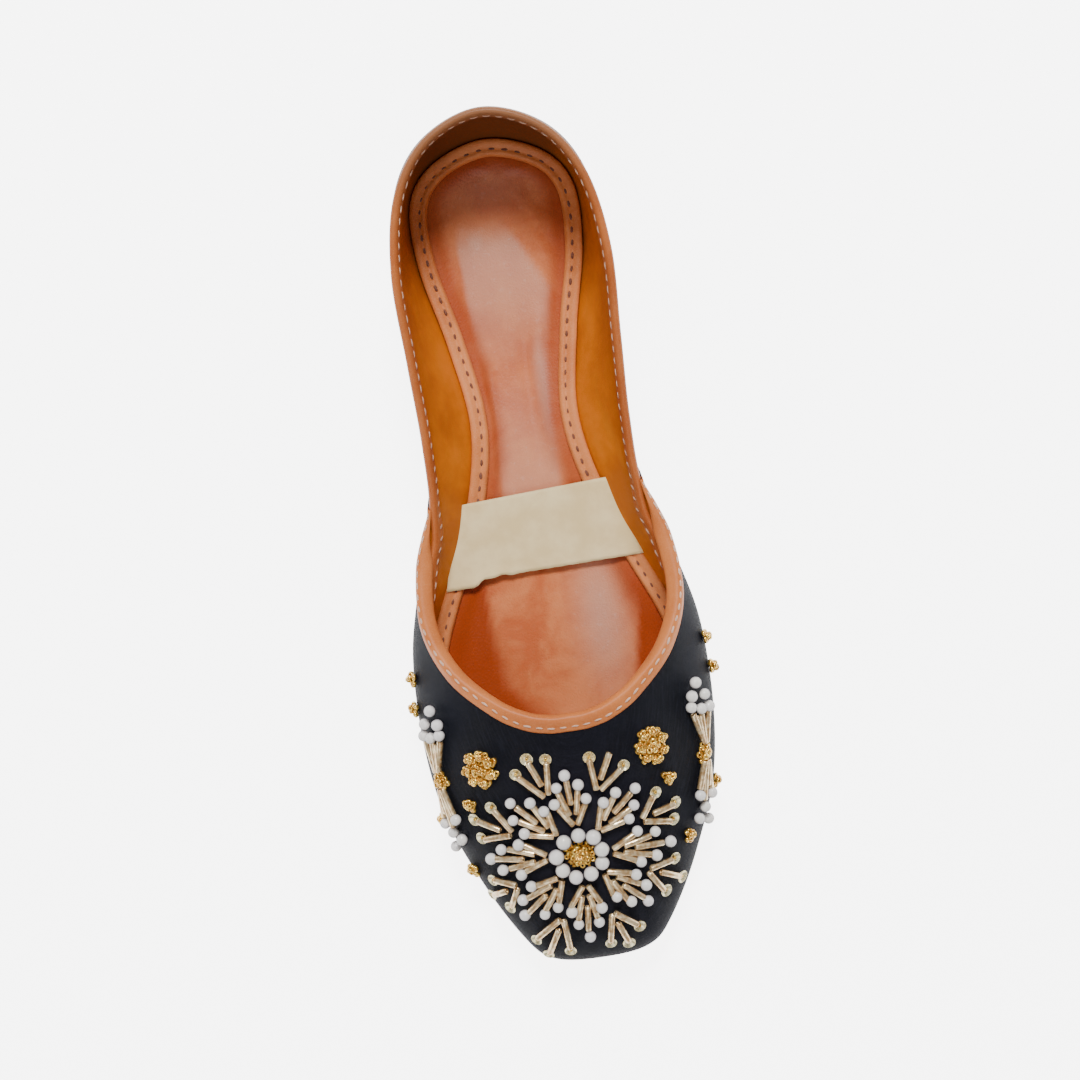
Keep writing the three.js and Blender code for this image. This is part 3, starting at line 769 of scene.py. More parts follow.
def makeUpper():
    cut = upperCut
    lapRibs, lapShares = zip(*cut["lapColumns"])
    quarter = np.linspace(0, lapRibs[0] - cut["columnGap"], cut["quarterSteps"])
    vamp = np.linspace(lapRibs[-1] + cut["columnGap"], toeRib, cut["vampSteps"])
    ribs = np.concatenate([quarter, lapRibs, vamp])
    layer = np.concatenate([0 * quarter, lapShares, 0 * vamp + 1])[:, None] * last["lap"]
    rises = np.linspace(0, 1, cut["riseSteps"] + 1)
    rib = leaned(ribs[:, None], rises[None, :])
    rise = np.broadcast_to(rises, rib.shape)
    plain = skin(rib, rise, layer)
    along = alongOf(plain)
    arch = np.sin(np.pi * rise)

    def outer(side):
        lift = np.zeros(rib.shape)
        for half, place, radius, height in cut["swells"]:
            d = np.hypot(side * plain[..., 0] - half, along - place)
            lift = lift + height * bump(d, 0, radius) * (layer > 0.5)
        return skin(rib, rise, layer + lift * arch)

    # distance under the strip's lower line, and the flap of the quarter there
    deep = runOf(plain[:, ::-1])[:, ::-1] - stripDrop(rib) - cut["flapBelow"]
    inset = stripInset(rib)
    under = ramp(deep, -cut["flapSoft"], cut["flapSoft"])
    flap = inset * under * fade(rib, *cut["flapEnd"]) * (1 - 0.5 * ramp(deep, 0, cut["flapEase"]))
    slack = np.zeros(rib.shape)
    for atRib, atRise, spread, depth in cut["slack"]:
        slack = slack + depth * bump(rib, atRib, spread) * bump(rise, atRise, cut["slackRise"])
    wall = last["wall"] - cut["skive"] * ramp(rise, *cut["skiveRises"])
    thin = (1 - lapOpen(rib)) * (layer > 0.9) * ramp(rise, *cut["lapRises"]) * (1 - under)
    wall = wall - (wall + cut["lapThin"]) * thin
    near = smooth(inset / cut["flapWallInset"]) * fade(deep, 0, cut["flapWallEase"])
    wall = wall - (wall - cut["flapWall"]) * under * near
    inner = skin(rib, rise, -wall - flap * smooth(rise / cut["flapFoot"]) - slack * arch ** 2)

    def section(side):
        return np.concatenate([outer(side), inner[:, ::-1]], 1)

    points = ringOf(section(1), mirror(section(-1)))
    count = points.shape[1]
    faces = gridFaces(len(points), count, True, True)
    inside = np.where(faces[:, 0] % count < len(rises), 0, 1)
    # map in millimetres: along the sole line and up the wall
    climb = runOf(plain)
    climb = np.concatenate([climb, climb[:, ::-1]], 1)
    run = np.broadcast_to(runOf(footPoint(ribs))[:, None], climb.shape)
    half = np.stack([run, climb], -1)
    # painted shade on the lining behind the heel, inside only
    most, lost = cut["liningShadeStrength"]
    liningShadeMask = fade(rib, *cut["heelRibs"]) * (most - lost * ramp(rise, *cut["skiveRises"]))
    liningShadeMask = np.concatenate([0 * liningShadeMask, liningShadeMask[:, ::-1]], 1)
    # painted highlight on top of the vamp, outside only
    place, wide, longway, strength = cut["sheen"]
    sheen = strength * bump(plain[..., 0], 0, wide) * bump(along, place, longway)
    sheen = np.concatenate([sheen, 0 * sheen], 1)
    return newPiece("upperSkin", points, faces, [blackSilk, mustardLining], inside,
                    ringOf(half, half).reshape(-1, 2),
                    {"paintedLiningShade": ringOf(liningShadeMask, liningShadeMask), "paintedTopSheen": ringOf(sheen, sheen)})


settle(makeUpper(), "black_silk", "upper")

# the sole: thin leather with a rounded edge
soleCut = {
    "steps": 130,
    "across": 8,
    # out from the foot line and up from the ground
    "edge": [(-1.6, 0.0), (-0.7, 0.08), (0.1, 0.45), (0.45, 1.1), (0.5, 2.2), (0.5, 3.4),
             (0.42, 4.05), (0.15, 4.4), (-0.4, 4.5)],
}


def makeSole():
    ribs = np.linspace(0, toeRib, soleCut["steps"] + 1)
    rings = []
    for out, lift in soleCut["edge"]:
        line = footPoint(ribs) + footOut(ribs) * out
        line[:, 2] = soleUnder(alongOf(line)) + lift
        rings.append(line)
    right = np.stack(rings, 1)
    shares = np.linspace(1, -1, soleCut["across"] + 1)[1:-1]

    def middle(edge):
        return np.stack([edge * np.array([s, 1, 1]) for s in shares], 1)

    sections = np.concatenate([right, middle(right[:, -1]), mirror(right)[:, ::-1],
                               middle(right[:, 0])[:, ::-1]], 1)
    return newPiece("soleSkin", sections, gridFaces(len(ribs), sections.shape[1], False, True),
                    [soleLeather])


settle(makeSole(), "sole_leather", "outsole")

# the insole pad: dished, with soft creases where the foot bends it
padCut = {
    "thick": 2.8,
    "steps": 230,
    "across": 56,
    "bandWidth": 5.0,
    "dish": 1.0,
    # from the band inwards, dish, folds, and the polish with its painted sheen reach their full
    # strength
    "dishEase": 5,
    "foldEase": 2,
    "polishSheenEase": 3,
    # creases: line of half and along, width, height
    "folds": [
        ([(7, 20), (11.5, 31), (16, 41)], 1.3, 0.45),
        ([(5, 21), (9.3, 32), (13.6, 42)], 1.2, -0.35),
        ([(-9.5, 29), (-12, 38), (-14, 50)], 1.5, 0.35),
        ([(9, 52), (6.6, 69), (6.2, 88), (8.4, 106)], 2.0, 0.75),
        ([(3.6, 58), (2.6, 74), (3.0, 104)], 1.8, -0.55),
        ([(-8, 66), (-8.2, 87), (-8.8, 106)], 1.4, -0.75),
        ([(-11.6, 64), (-11.8, 86), (-12.6, 106)], 1.5, 0.6),
        ([(24, 130), (22.4, 150), (19, 172)], 2.6, 0.5),
        ([(-18.5, 128), (-14.5, 146), (-4, 168), (8, 180)], 2.8, 0.35),
        ([(-6, 12), (3, 16), (12, 14)], 1.6, 0.25),
    ],
    # painted shade along the edge: reach and strength at the heel, and what the forefoot adds
    "foreAlong": (118, 143),
    "edgeReach": (5, 4),
    "edgeShadeStrength": (0.65, 0.3),
    # painted shade beside these lines in the forefoot: side, then rows of along, half, softness
    "shadows": [
        (-1, [(118, -19, 1.5), (131, -17, 1.5), (139, -16.4, 2.5), (149, -14.5, 5),
              (161, -11.5, 7), (169, -5, 8), (182, 8, 9)]),
        (1, [(118, 25, 3), (140, 23.5, 2.5), (168, 19.5, 2.5), (184, 12, 4)]),
    ],
    "shadowAlong": (118, 128),
    "shadowTone": 0.95,
    # painted shade at the heel: strength, and the alongs over which it fades
    "padHeelShade": 0.2,
    "heelAlong": (36, 88),
    # painted highlights on polished patches: half, along, reach across, reach along, strength
    "polishSheenPatches": [(-1, 19, 15, 8, 0.42), (-6.5, 35, 4, 4.5, 1.0), (7, 79, 2.6, 19, 0.95),
             (-12, 92, 2.8, 18, 0.6), (14, 144, 7, 20, 0.9)],
    # painted sheen on the polished middle of heel and waist: rows of along, left and right half,
    # strength
    "polishSheenZone": [(26, -12.5, 2, 0), (31, -12.5, 4.5, 0.3), (36, -12.5, 7, 0.8), (50, -12.2, 14, 0.62),
             (60, -11.6, 12.5, 0.38), (72, -11, 10.5, 0.12), (88, -10.4, 9.5, 0.4),
             (106, -10, 9, 0.6), (118, -10, 9, 0.2), (128, -10, 9, 0)],
    "polishSheenZoneSoft": (1.6, 2.4),
}


def insoleLine(ribs, lift, inset):
    p = insideWall(ribs, lift) - footOut(ribs) * inset
    p[:, 2] = seat(alongOf(p)) + lift
    return p


def padTones(x, along, depth):
    # how far each spot has painted shade, polish with painted sheen, and painted shade at the heel,
    # by name
    cut = padCut
    fore = ramp(along, *cut["foreAlong"])
    # painted shade along the edge, wider and stronger in the forefoot
    (reach, foreReach), (tone, foreShadeStrength) = cut["edgeReach"], cut["edgeShadeStrength"]
    shade = (1 - smooth((depth - 1) / (reach + foreReach * fore))) * (tone + foreShadeStrength * fore)
    for side, rows in cut["shadows"]:
        places, halves, softs = zip(*rows)
        past = side * (x - np.interp(along, places, halves)) / np.interp(along, places, softs)
        deep = cut["shadowTone"] * ramp(along, *cut["shadowAlong"]) * smooth(past)
        shade = np.maximum(shade, deep)
    # painted highlight patches and sheen zone, also where the pad is polished
    polishAndSheen = np.zeros(x.shape)
    for half, place, wide, longway, strength in cut["polishSheenPatches"]:
        polishAndSheen = np.maximum(polishAndSheen, strength * bump(x, half, wide) * bump(along, place, longway))
    places, *rows = zip(*cut["polishSheenZone"])
    left, right, strength = (np.interp(along, places, row) for row in rows)
    leftSoft, rightSoft = cut["polishSheenZoneSoft"]
    polishSheenZone = smooth((x - left) / leftSoft) * smooth((right - x) / rightSoft) * strength
    return {"edgeShade": shade,
            "polishAndPaintedSheen": np.maximum(polishAndSheen, polishSheenZone) * smooth(depth / cut["polishSheenEase"]),
            "padHeelShade": cut["padHeelShade"] * fade(along, *cut["heelAlong"])}


def makePad():
    cut = padCut
    ribs = np.linspace(0, toeRib, cut["steps"] + 1)
    edge = insoleLine(ribs, cut["thick"], 0.0)
    inside = insoleLine(ribs, cut["thick"], cut["bandWidth"])
    share = np.sin(np.linspace(-np.pi / 2, np.pi / 2, cut["across"] + 1))
    x = edge[:, 0][:, None] * share
    y = np.broadcast_to(edge[:, 1][:, None], x.shape)
    along = last["length"] / 2 - y
    # depth inside the band's inner line, negative under the band
    ring = np.concatenate([inside, mirror(inside)[::-1]])[:, :2]
    flat = np.stack([x.ravel(), y.ravel()], -1)
    gapIn = np.concatenate([np.sqrt(((part[:, None] - ring[None]) ** 2).sum(-1)).min(1)
                            for part in np.array_split(flat, 12)]).reshape(x.shape)
    within = np.abs(x) < np.interp(along, alongOf(inside), inside[:, 0])
    within &= along > along[0, 0] + cut["bandWidth"]
    within &= along < along[-1, 0] - cut["bandWidth"]
    depth = np.where(within, gapIn, -gapIn)
    z = seat(along) + cut["thick"] - cut["dish"] * smooth(depth / cut["dishEase"])
    z = z + foldHeight(x, along, cut["folds"]) * smooth(depth / cut["foldEase"])
    top = np.stack([x, y, z], -1)
    low = np.stack([x, y, seat(along)], -1)[:, ::-1]
    sections = np.concatenate([top, low], 1)
    values = {key: np.concatenate([tone, 0 * tone], 1)
              for key, tone in padTones(x, along, depth).items()}
    return newPiece("insolePad", sections, gridFaces(len(ribs), sections.shape[1], False, True),
                    [insoleLeather], values=values)


pad = settle(makePad(), "insole_leather", "insole")

# the raised strip round the insole and its row of stitches
bandCut = {
    "foot": 3.1,
    "wallLift": 1.0,
    "steps": 300,
    # inset from the wall and height above the pad
    "profile": [(0.0, 0.0), (0.0, 1.5), (0.35, 1.85), (1.1, 1.95), (1.9, 1.8), (2.5, 1.48),
                (2.9, 1.36), (3.3, 1.45), (3.7, 1.55), (4.3, 1.4), (4.75, 0.95), (5.0, 0.3),
                (5.0, 0.0)],
    "middle": 2.5,
    "pitch": 3.7,
    "stitchInset": 2.9,
    "stitchHeight": 1.36,
    "stitchSize": (2.0, 0.8, 0.7),
    "pucker": (0.9, 0.22),  # reach from the stitches, depth
    "wave": (11.0, 0.12),  # length, height
    "topFrom": 0.5,
    "underLabel": (109, 127),  # stretch without stitches, hidden by the label
}


def bandPath(ribs, inset, height):
    p = insideWall(ribs, bandCut["foot"] + bandCut["wallLift"]) - footOut(ribs) * inset
    p[..., 2] = seat(alongOf(p)) + bandCut["foot"] + height
    return p


def spacedAlong(path, pitch):
    # indexes (not whole numbers) of spots at an even pitch along a line
    run = runOf(path)
    count = max(1, round(run[-1] / pitch))
    return np.interp((np.arange(count) + 0.5) * run[-1] / count, run, np.arange(len(path)))


def atIndex(path, index):
    return np.stack([np.interp(index, np.arange(len(path)), path[:, k]) for k in range(3)], -1)


def wayAt(path, index):
    ahead = atIndex(path, np.minimum(index + 0.5, len(path) - 1))
    return unit(ahead - atIndex(path, np.maximum(index - 0.5, 0)))


def puckerAlong(run, pitch):
    return 0.5 + 0.5 * np.cos(2 * np.pi * run / pitch)


def makeBand():
    cut = bandCut
    ribs = np.linspace(0, toeRib, cut["steps"] + 1)
    run = runOf(bandPath(ribs, cut["middle"], 0))
    (reach, depth), (wave, waveHeight) = cut["pucker"], cut["wave"]
    lines = []
    for inset, height in cut["profile"]:
        isTop = height > cut["topFrom"]
        near = bump(inset, cut["stitchInset"], reach) * isTop
        p = bandPath(ribs, inset, height)
        p[:, 2] -= depth * near * puckerAlong(run, cut["pitch"])
        p[:, 2] += waveHeight * np.sin(run / wave) * isTop
        lines.append(p)
    right = np.stack(lines, 1)
    sections = ringOf(right, mirror(right))
    faces = gridFaces(len(sections), len(lines), True, True)
    strip = newPiece("insoleStrip", sections, faces, [bandLeather])
    path = bandPath(ribs, cut["stitchInset"], cut["stitchHeight"])
    index = spacedAlong(path, cut["pitch"])
    points, ways = atIndex(path, index), wayAt(path, index)
    start, end = cut["underLabel"]
    seen = (alongOf(points) < start) | (alongOf(points) > end)
    stitch = stitchShape("stitchDark")
    row = sew("insoleStitches", stitch, brownThread, bothSides(points[seen]),
              bothSides(ways[seen]), (0, 0, 1), cut["stitchSize"], uneven=0.12, twist=0.12, seed=5)
    bpy.data.objects.remove(stitch)
    return strip, row


bandStrip, bandStitches = makeBand()
settle(bandStrip, "band_leather", "insole_band")
settle(bandStitches, "band_leather")

# the label: a bare strip of cloth laid over the insole, one corner torn
labelCut = {
    # half and along of its corners: heel left, heel right, toe right, toe left
    "corners": [(-21.0, 107.6), (20.8, 105.6), (28.2, 128.6), (-29.0, 129.6)],
    "tab": (-20.6, -17.4, 2.0),  # the toe edge steps out between these halves, by this much
    "thick": 0.35,
    "lift": 5.1,
    "sag": 1.5,
    # waves: place across from -1 to 1, reach, height, and 1 where the toe end has it
    "waves": [(0.2, 0.18, 0.35, 1), (-0.35, 0.2, -0.25, 0)],
    "curl": (-0.6, 0.3, 0.5),  # torn edge lifted: place across, reach, height
    "curlFrom": 0.85,
    # torn toe edge: height, rate and start of the scallops, their middle and reach; a fine fray
    "tornFrom": 0.75,
    "scallops": (0.35, 0.9, -16, -13, 5),
    "fray": (0.06, 1.7),
    "across": 56,
    "down": 22,
    "flat": (0.0573, 0.024),  # cut size in metres, and the area of the slanted cut
    "flatArea": 0.00112,
}


def makeLabel():
    cut = labelCut
    columns, rows = cut["across"] + 1, cut["down"] + 1
    s, t = np.meshgrid(np.linspace(0, 1, columns), np.linspace(0, 1, rows))
    shares = ((1 - s) * (1 - t), s * (1 - t), s * t, (1 - s) * t)
    x, along = (sum(share * corner[k] for share, corner in zip(shares, cut["corners"]))
                for k in range(2))
    # torn toe edge: a tab left standing at one end, two small scallops beside it
    tabStart, tabEnd, tabReach = cut["tab"]
    high, rate, start, middle, reach = cut["scallops"]
    frayHigh, frayRate = cut["fray"]
    torn = tabReach * fade(x, tabStart, tabEnd) + frayHigh * np.sin(frayRate * x)
    torn = torn + high * np.cos((x - start) * rate) * bump(x, middle, reach)
    along = along + torn * ramp(t, cut["tornFrom"], 1)
    share = 2 * s - 1
    z = seat(along) + cut["lift"] - cut["sag"] * (1 - share ** 2)
    for place, reach, height, toeEnd in cut["waves"]:
        z = z + height * bump(share, place, reach) * (t if toeEnd else 1 - t)
    place, reach, height = cut["curl"]
    z = z + height * ramp(t, cut["curlFrom"], 1) * bump(share, place, reach)
    count = rows * columns
    sheet = gridFaces(rows, columns)
    index = np.arange(count).reshape(s.shape)
    rim = np.concatenate([index[0], index[1:, -1], index[-1, :-1][::-1], index[1:-1, 0][::-1]])
    after = np.roll(rim, -1)
    sides = np.stack([rim, rim + count, after + count, after], -1)
    faces = np.concatenate([sheet, sheet[:, ::-1] + count, sides])
    points = np.stack([spot(x, along, z + cut["thick"]), spot(x, along, z)])
    uv = np.stack([x, along], -1).reshape(-1, 2)
    return newPiece("labelStrip", points, faces, [labelFinish], uv=np.concatenate([uv, uv]))


label = settle(makeLabel(), "label_cloth", "insole_label")

# bindings folded over the collar and the throat, each with one row of light stitches
bindingCut = {
    "pitch": 3.3,
    "collarStitchSize": (2.4, 0.7, 0.55),
    "throatStitchSize": (2.3, 0.62, 0.5),
    # distance below the edge and out from the wall, round the strip
    "collarProfile": [
        (3.0, 0.05), (3.0, 0.3), (2.6, 0.5), (1.5, 0.56), (0.3, 0.6), (-0.4, 0.5), (-0.85, 0.15),
        (-1.05, -0.3), (-1.0, -0.7), (-0.75, -1.1), (-0.3, -1.5), (0.25, -1.82), (0.8, -2.06),
        (1.3, -2.2), (1.9, -2.38), (2.3, -2.3), (2.5, -1.9), (2.45, -1.2), (1.5, -0.93),
        (0.2, -0.9), (-0.3, -0.4), (0.2, 0.02), (2.0, 0.02)],
    "collarStitch": (0.95, -2.08),
    "throatProfile": [
        (2.9, 1.05), (2.9, 1.35), (2.55, 1.6), (1.95, 1.66), (1.3, 1.82), (0.5, 1.98),
        (-0.2, 1.9), (-0.7, 1.5), (-1.0, 0.8), (-1.05, 0.1), (-0.85, -0.7), (-0.4, -1.2),
        (0.4, -1.45), (2.0, -1.4), (3.4, -1.3), (3.9, -1.15), (4.0, -0.95), (3.0, -0.92),
        (0.3, -0.92), (-0.4, 0.05), (0.3, 1.02), (2.0, 1.02)],
    # the throat's seam lies below the edge in front, and on top of the fold along the sides
    "throatStitch": 1.8,
    "throatStitchSides": -0.45,
    "steepRibs": (8.4, 11.0),
    # the throat strip is slim where it starts behind the lap
    "startBehind": 0.06,
    "slimStart": 0.45,
    "slimRibs": 0.4,
    "core": 0.75,
    "wallInside": 0.35,
    "sideRoll": 0.9,  # the fold is this much wider on the inside, along these ribs of the sides
    "rollRibs": (6.2, 7.0, 9.2, 11.0),
    "insideShort": 0.4,
    "insideRibs": (7.7, 8.5),
    "frontWiden": 0.3,
    "frontRibs": (8.4, 10.8),
    "insideFrom": -0.5,
    # ripples along the strip: length, start, depth; slight above this line of the profile
    "ripples": [(5.3, 0.0, 0.1), (13.7, 1.1, 0.12)],
    "rippleFrom": 1.8,
    "rippleAbove": 0.4,
    # pucker at the stitches
    "puckerDepth": 0.28,
    "puckerLeast": 0.4,
    "puckerReach": (0.6, 0.5),
    # thread sunk into the seam, and a spot above the seam that it faces
    "threadSink": 0.1,
    "threadFacing": 0.6,
    "threadUp": ((-0.5, 1.8), (0.7, 0.25)),
    "collarSteps": 400,
    "throatSteps": 300,
}


def beside(ribs, below, out):
    # points beside the opening: below it along the wall, above where negative, and out from it
    ribs, below, out = floats(ribs, below, out)
    run = runOf(base(ribs[:, None], edgeRises))
    rise = np.array([np.interp(max(0.0, b), line, edgeRises) for line, b in zip(run, below)])
    climb = unit(base(ribs, 1.0) - base(ribs, 1 - edgeStep))
    return skin(leaned(ribs, rise), rise, out) + climb * np.maximum(0, -below)[:, None]


def collarAt(ribs, below, out):
    return beside(ribs, below + stripDrop(ribs), out - stripInset(ribs))


def throatAt(ribs, below, out):
    cut = bindingCut
    lapRib, core, wallInside = last["lapRib"], cut["core"], cut["wallInside"]
    slim = ramp(ribs, lapRib, lapRib + cut["slimRibs"])
    slim = cut["slimStart"] + (1 - cut["slimStart"]) * slim
    start, full, ease, end = cut["rollRibs"]
    roll = cut["sideRoll"] * ramp(ribs, start, full) * fade(ribs, ease, end)
    short = cut["insideShort"]
    short = short + (1 - short) * ramp(ribs, *cut["insideRibs"])
    below = np.where((out < cut["insideFrom"]) & (below > 0), below * short, below)
    out = np.where(out < 0, out * (1 + roll), out)
    shell = core + (out - core) * slim
    tucked = wallInside - (wallInside - shell) * lapOpen(ribs)
    shell = np.where(shell < wallInside, tucked, shell)
    front = cut["frontWiden"] * ramp(ribs, *cut["frontRibs"])
    below = np.where((below > 0) & (shell > wallInside), below * (1 + front), below)
    return beside(ribs, below * slim, shell)


def makeBinding(name, ribs, placed, profile, seam, stitchSize, finish, fromHeel):
    cut = bindingCut
    seamBelow, seamOut = (np.broadcast_to(v, ribs.shape) for v in seam)
    run = runOf(placed(ribs, 0.0, 0.0))
    least = cut["puckerLeast"]
    pucker = cut["puckerDepth"] * (least + (1 - least) * puckerAlong(run, cut["pitch"]))
    belowReach, outReach = cut["puckerReach"]
    ripple = sum(depth * np.sin(run / length + start) for length, start, depth in cut["ripples"])
    side = 1 if seamOut[0] > 0 else -1
    lines = []
    for below, out in profile:
        near = bump(below, seamBelow, belowReach) * bump(out, seamOut, outReach)
        stir = ripple if below > cut["rippleFrom"] else cut["rippleAbove"] * ripple
        lines.append(placed(ribs, below + stir, out - side * near * pucker))
    right = np.stack(lines, 1)
    if fromHeel:
        sections = np.concatenate([mirror(right)[1:][::-1], right])
    else:
        sections = np.concatenate([right[:-1], mirror(right)[::-1]])
    faces = gridFaces(len(sections), len(lines), False, True)
    strip = newPiece(name, sections, faces, [finish])
    line = placed(ribs, seamBelow, seamOut - cut["threadSink"] * side)
    higher = np.interp(seamBelow, *cut["threadUp"])
    above = placed(ribs, seamBelow - higher, seamOut + cut["threadFacing"] * side)
    index = spacedAlong(line, cut["pitch"])
    points, ways = atIndex(line, index), wayAt(line, index)
    outs = unit(atIndex(above, index) - points)
    stitch = stitchShape("stitchLight")
    row = sew(name + "Thread", stitch, creamThread, bothSides(points), bothSides(ways),
              bothSides(outs), stitchSize, uneven=0.1, twist=0.1, seed=11)
    bpy.data.objects.remove(stitch)
    return strip, row


def makeCollar():
    cut = bindingCut
    ribs = np.linspace(0, stripCut["end"], cut["collarSteps"])
    return makeBinding("collarStrip", ribs, collarAt, cut["collarProfile"], cut["collarStitch"],
                       cut["collarStitchSize"], collarLeather, True)


def makeThroat():
    cut = bindingCut
    ribs = np.linspace(last["lapRib"] - cut["startBehind"], toeRib, cut["throatSteps"])
    front, sides = cut["throatStitch"], cut["throatStitchSides"]
    low = front + (sides - front) * fade(ribs, *cut["steepRibs"])
    shoulder = sorted(cut["throatProfile"][2:8])
    seam = (low, np.interp(low, *zip(*shoulder)))
    return makeBinding("throatStrip", ribs, throatAt, cut["throatProfile"], seam,
                       cut["throatStitchSize"], throatLeather, False)


collar, collarThread = makeCollar()
throat, throatThread = makeThroat()
settle(collar, "collar_leather", "quarter_binding")
settle(collarThread, "collar_leather")
settle(throat, "throat_leather", "vamp_binding")
settle(throatThread, "throat_leather")

# beadwork: charts in millimetres; bearings in degrees round the rosette, 0 towards the throat
beadCut = {
    "rosette": (-2.0, 208.0),
    "ringCount": 9,
    "ringRadius": 6.25,
    "ringPearl": 2.15,
    "petalPearl": 1.65,
    "bugleRadius": 0.96,
    "seedRadius": 0.95,
    "sequinRadius": 1.8,
    "knotRadius": 0.5,
    "knotLift": 0.55,
    # each sequin sits beyond its sprig's tip, a little wider, lifted off the face
    "sequinBeyond": 0.9,
    "sequinSpread": 1.06,
    "sequinLift": 0.35,
    "pearlLift": 0.1,
    "topLift": 0.55,
    "sideLift": 0.35,
    # petals: bearing, reach, lean of the tip
    "petals": [(-1, 1.0, -0.8), (44, 1.0, 0.5), (91, 1.02, 0.0), (135, 0.98, -0.4), (180, 1.0, 0.9),
               (226, 0.98, 0.3), (273, 1.02, 0.2), (317, 1.0, -0.5)],
    "petalPearls": [(15.8, 4.3), (15.8, -4.3), (20.2, 3.1), (20.2, -3.1), (23.6, 0.2)],
    # both ends of each bugle, out and across
    "petalBugles": [(8.9, 0.65, 14.8, 4.0), (8.9, -0.65, 14.8, -4.0), (11.9, 0.95, 19.0, 2.85),
                    (11.9, -0.95, 19.0, -2.85), (15.0, 0.0, 22.4, 0.1)],
    "petalLean": (9, 15),  # the lean starts this far out, and is full this much further
    # sprigs: bearing, share of the full reach, tips with a sequin
    "sprigs": [(22, 1.0, 2), (68, 0.95, 3), (113, 0.92, 3), (160, 0.96, 3), (203, 1.0, 3),
               (249, 0.88, 3), (296, 0.95, 3), (340, 1.0, 3)],
    "sprigFoot": (19.6, 0.6),
    "sprigTips": [(27.2, 4.7), (27.2, -4.7), (30.4, 0.2)],
    "middleFoot": 3.0,
    "flowers": [(21.5, 180.5), (-25.5, 180.5)],
    # seed heaps: reach and count
    "centreHeap": (4.4, 28),
    "flowerHeap": (3.0, 15),
    "lobeHeap": (1.5, 6),
    "topHeap": (1.75, 7),
    "sideHeap": (1.7, 7),
    "sprayHeap": (2.7, 12),
    "lobes": 7,
    "lobeReach": (3.1, 3.9),
    "topClusters": [(25, 190.5), (-30, 190.5), (28.5, 208.5), (-32, 210)],
    "sideClusters": [(154, 20), (162.5, 17), (195, 11.5)],
    "sprayAt": {1: (185.5, 21.5), -1: (183.0, 20.8)},
    "sprayTilt": -0.28,
    # spray from its heart: along and height; first the pearls, then both ends of each bugle
    "sprayPearls": [(-20, 1.0), (-16.8, 2.9), (-16.6, -1.6), (-13.4, 3.2), (-13.0, -2.6),
                    (-12.6, 0.4), (11.6, 2.6), (12, -2.4), (15.2, 0.4), (18.2, 2.4), (19.4, -2.0)],
    "sprayBugles": [(-2.6, 0.5, -11.6, 2.8), (-2.6, 0, -11.2, 0.4), (-2.6, -0.5, -11.4, -2.2),
                    (-4.6, 1.0, -10.5, 1.6), (2.6, 0.5, 10.2, 2.2), (2.6, 0, 13.6, 0.4),
                    (2.6, -0.5, 10.6, -2.1), (4.5, -0.8, 9.5, -0.8)],
    # spread of the draws that place each kind by hand
    "ringStray": (1.5, 0.15),
    "petalStray": 0.25,
    "bugleStray": (0.1, 0.15),
    "sprigStray": 0.3,
    "sprayStray": (0.3, 0.2),
    # chart of the vamp's face: first rib and rise, steps
    "chartFrom": (6.4, 0.02),
    "chartSteps": (330, 170),
    "seed": 17,
}
rng = np.random.default_rng(beadCut["seed"])

chartRib, chartRise = np.meshgrid(
    *(np.linspace(start, end, steps) for start, end, steps
      in zip(beadCut["chartFrom"], (toeRib, 1), beadCut["chartSteps"])), indexing="ij")
chartPoints = skin(chartRib, chartRise, last["lap"]).reshape(-1, 3)
chartOuts = baseOut(chartRib, chartRise).reshape(-1, 3)
chartAlong = alongOf(chartPoints)


def nearest(distance, lift, left):
    # place on the vamp, lifted off its face, with the face's direction
    i = int(np.argmin(distance))
    p, n = chartPoints[i] + chartOuts[i] * lift, chartOuts[i]
    return (mirror(p), mirror(n)) if left else (p, n)


def onTop(half, along, lift):
    d = np.hypot(chartPoints[:, 0] - abs(half), chartAlong - along)
    return nearest(d, lift, half < 0)


def onSide(side, along, height, lift):
    d = np.hypot(chartAlong - along, chartPoints[:, 2] - height)
    return nearest(d, lift, side < 0)


def onBearing(bearing, out, across, lift):
    turn = math.radians(bearing)
    half, along = beadCut["rosette"]
    return onTop(half + out * math.sin(turn) + across * math.cos(turn),
                 along - out * math.cos(turn) + across * math.sin(turn), lift)


def stray(amount):
    return rng.normal(0, amount)


pearls, seeds, bugles, sequins = [], [], [], []


# heap of seed beads, packed in rings, with a narrower and sparser layer on top
heapCut = {
    "layers": 2,
    "narrower": 0.42,
    "fewer": 0.5,
    "turn": 2.39996,
    "layerTurn": 1.3,
    "firstRing": 0.4,
    # lift off the face in bead radii, for the first layer and each one on top
    "lift": (0.9, 1.05),
    "slump": 0.06,
    "shiftStray": 0.12,
    "tiltStray": 0.5,
    "liftStray": 0.1,
}


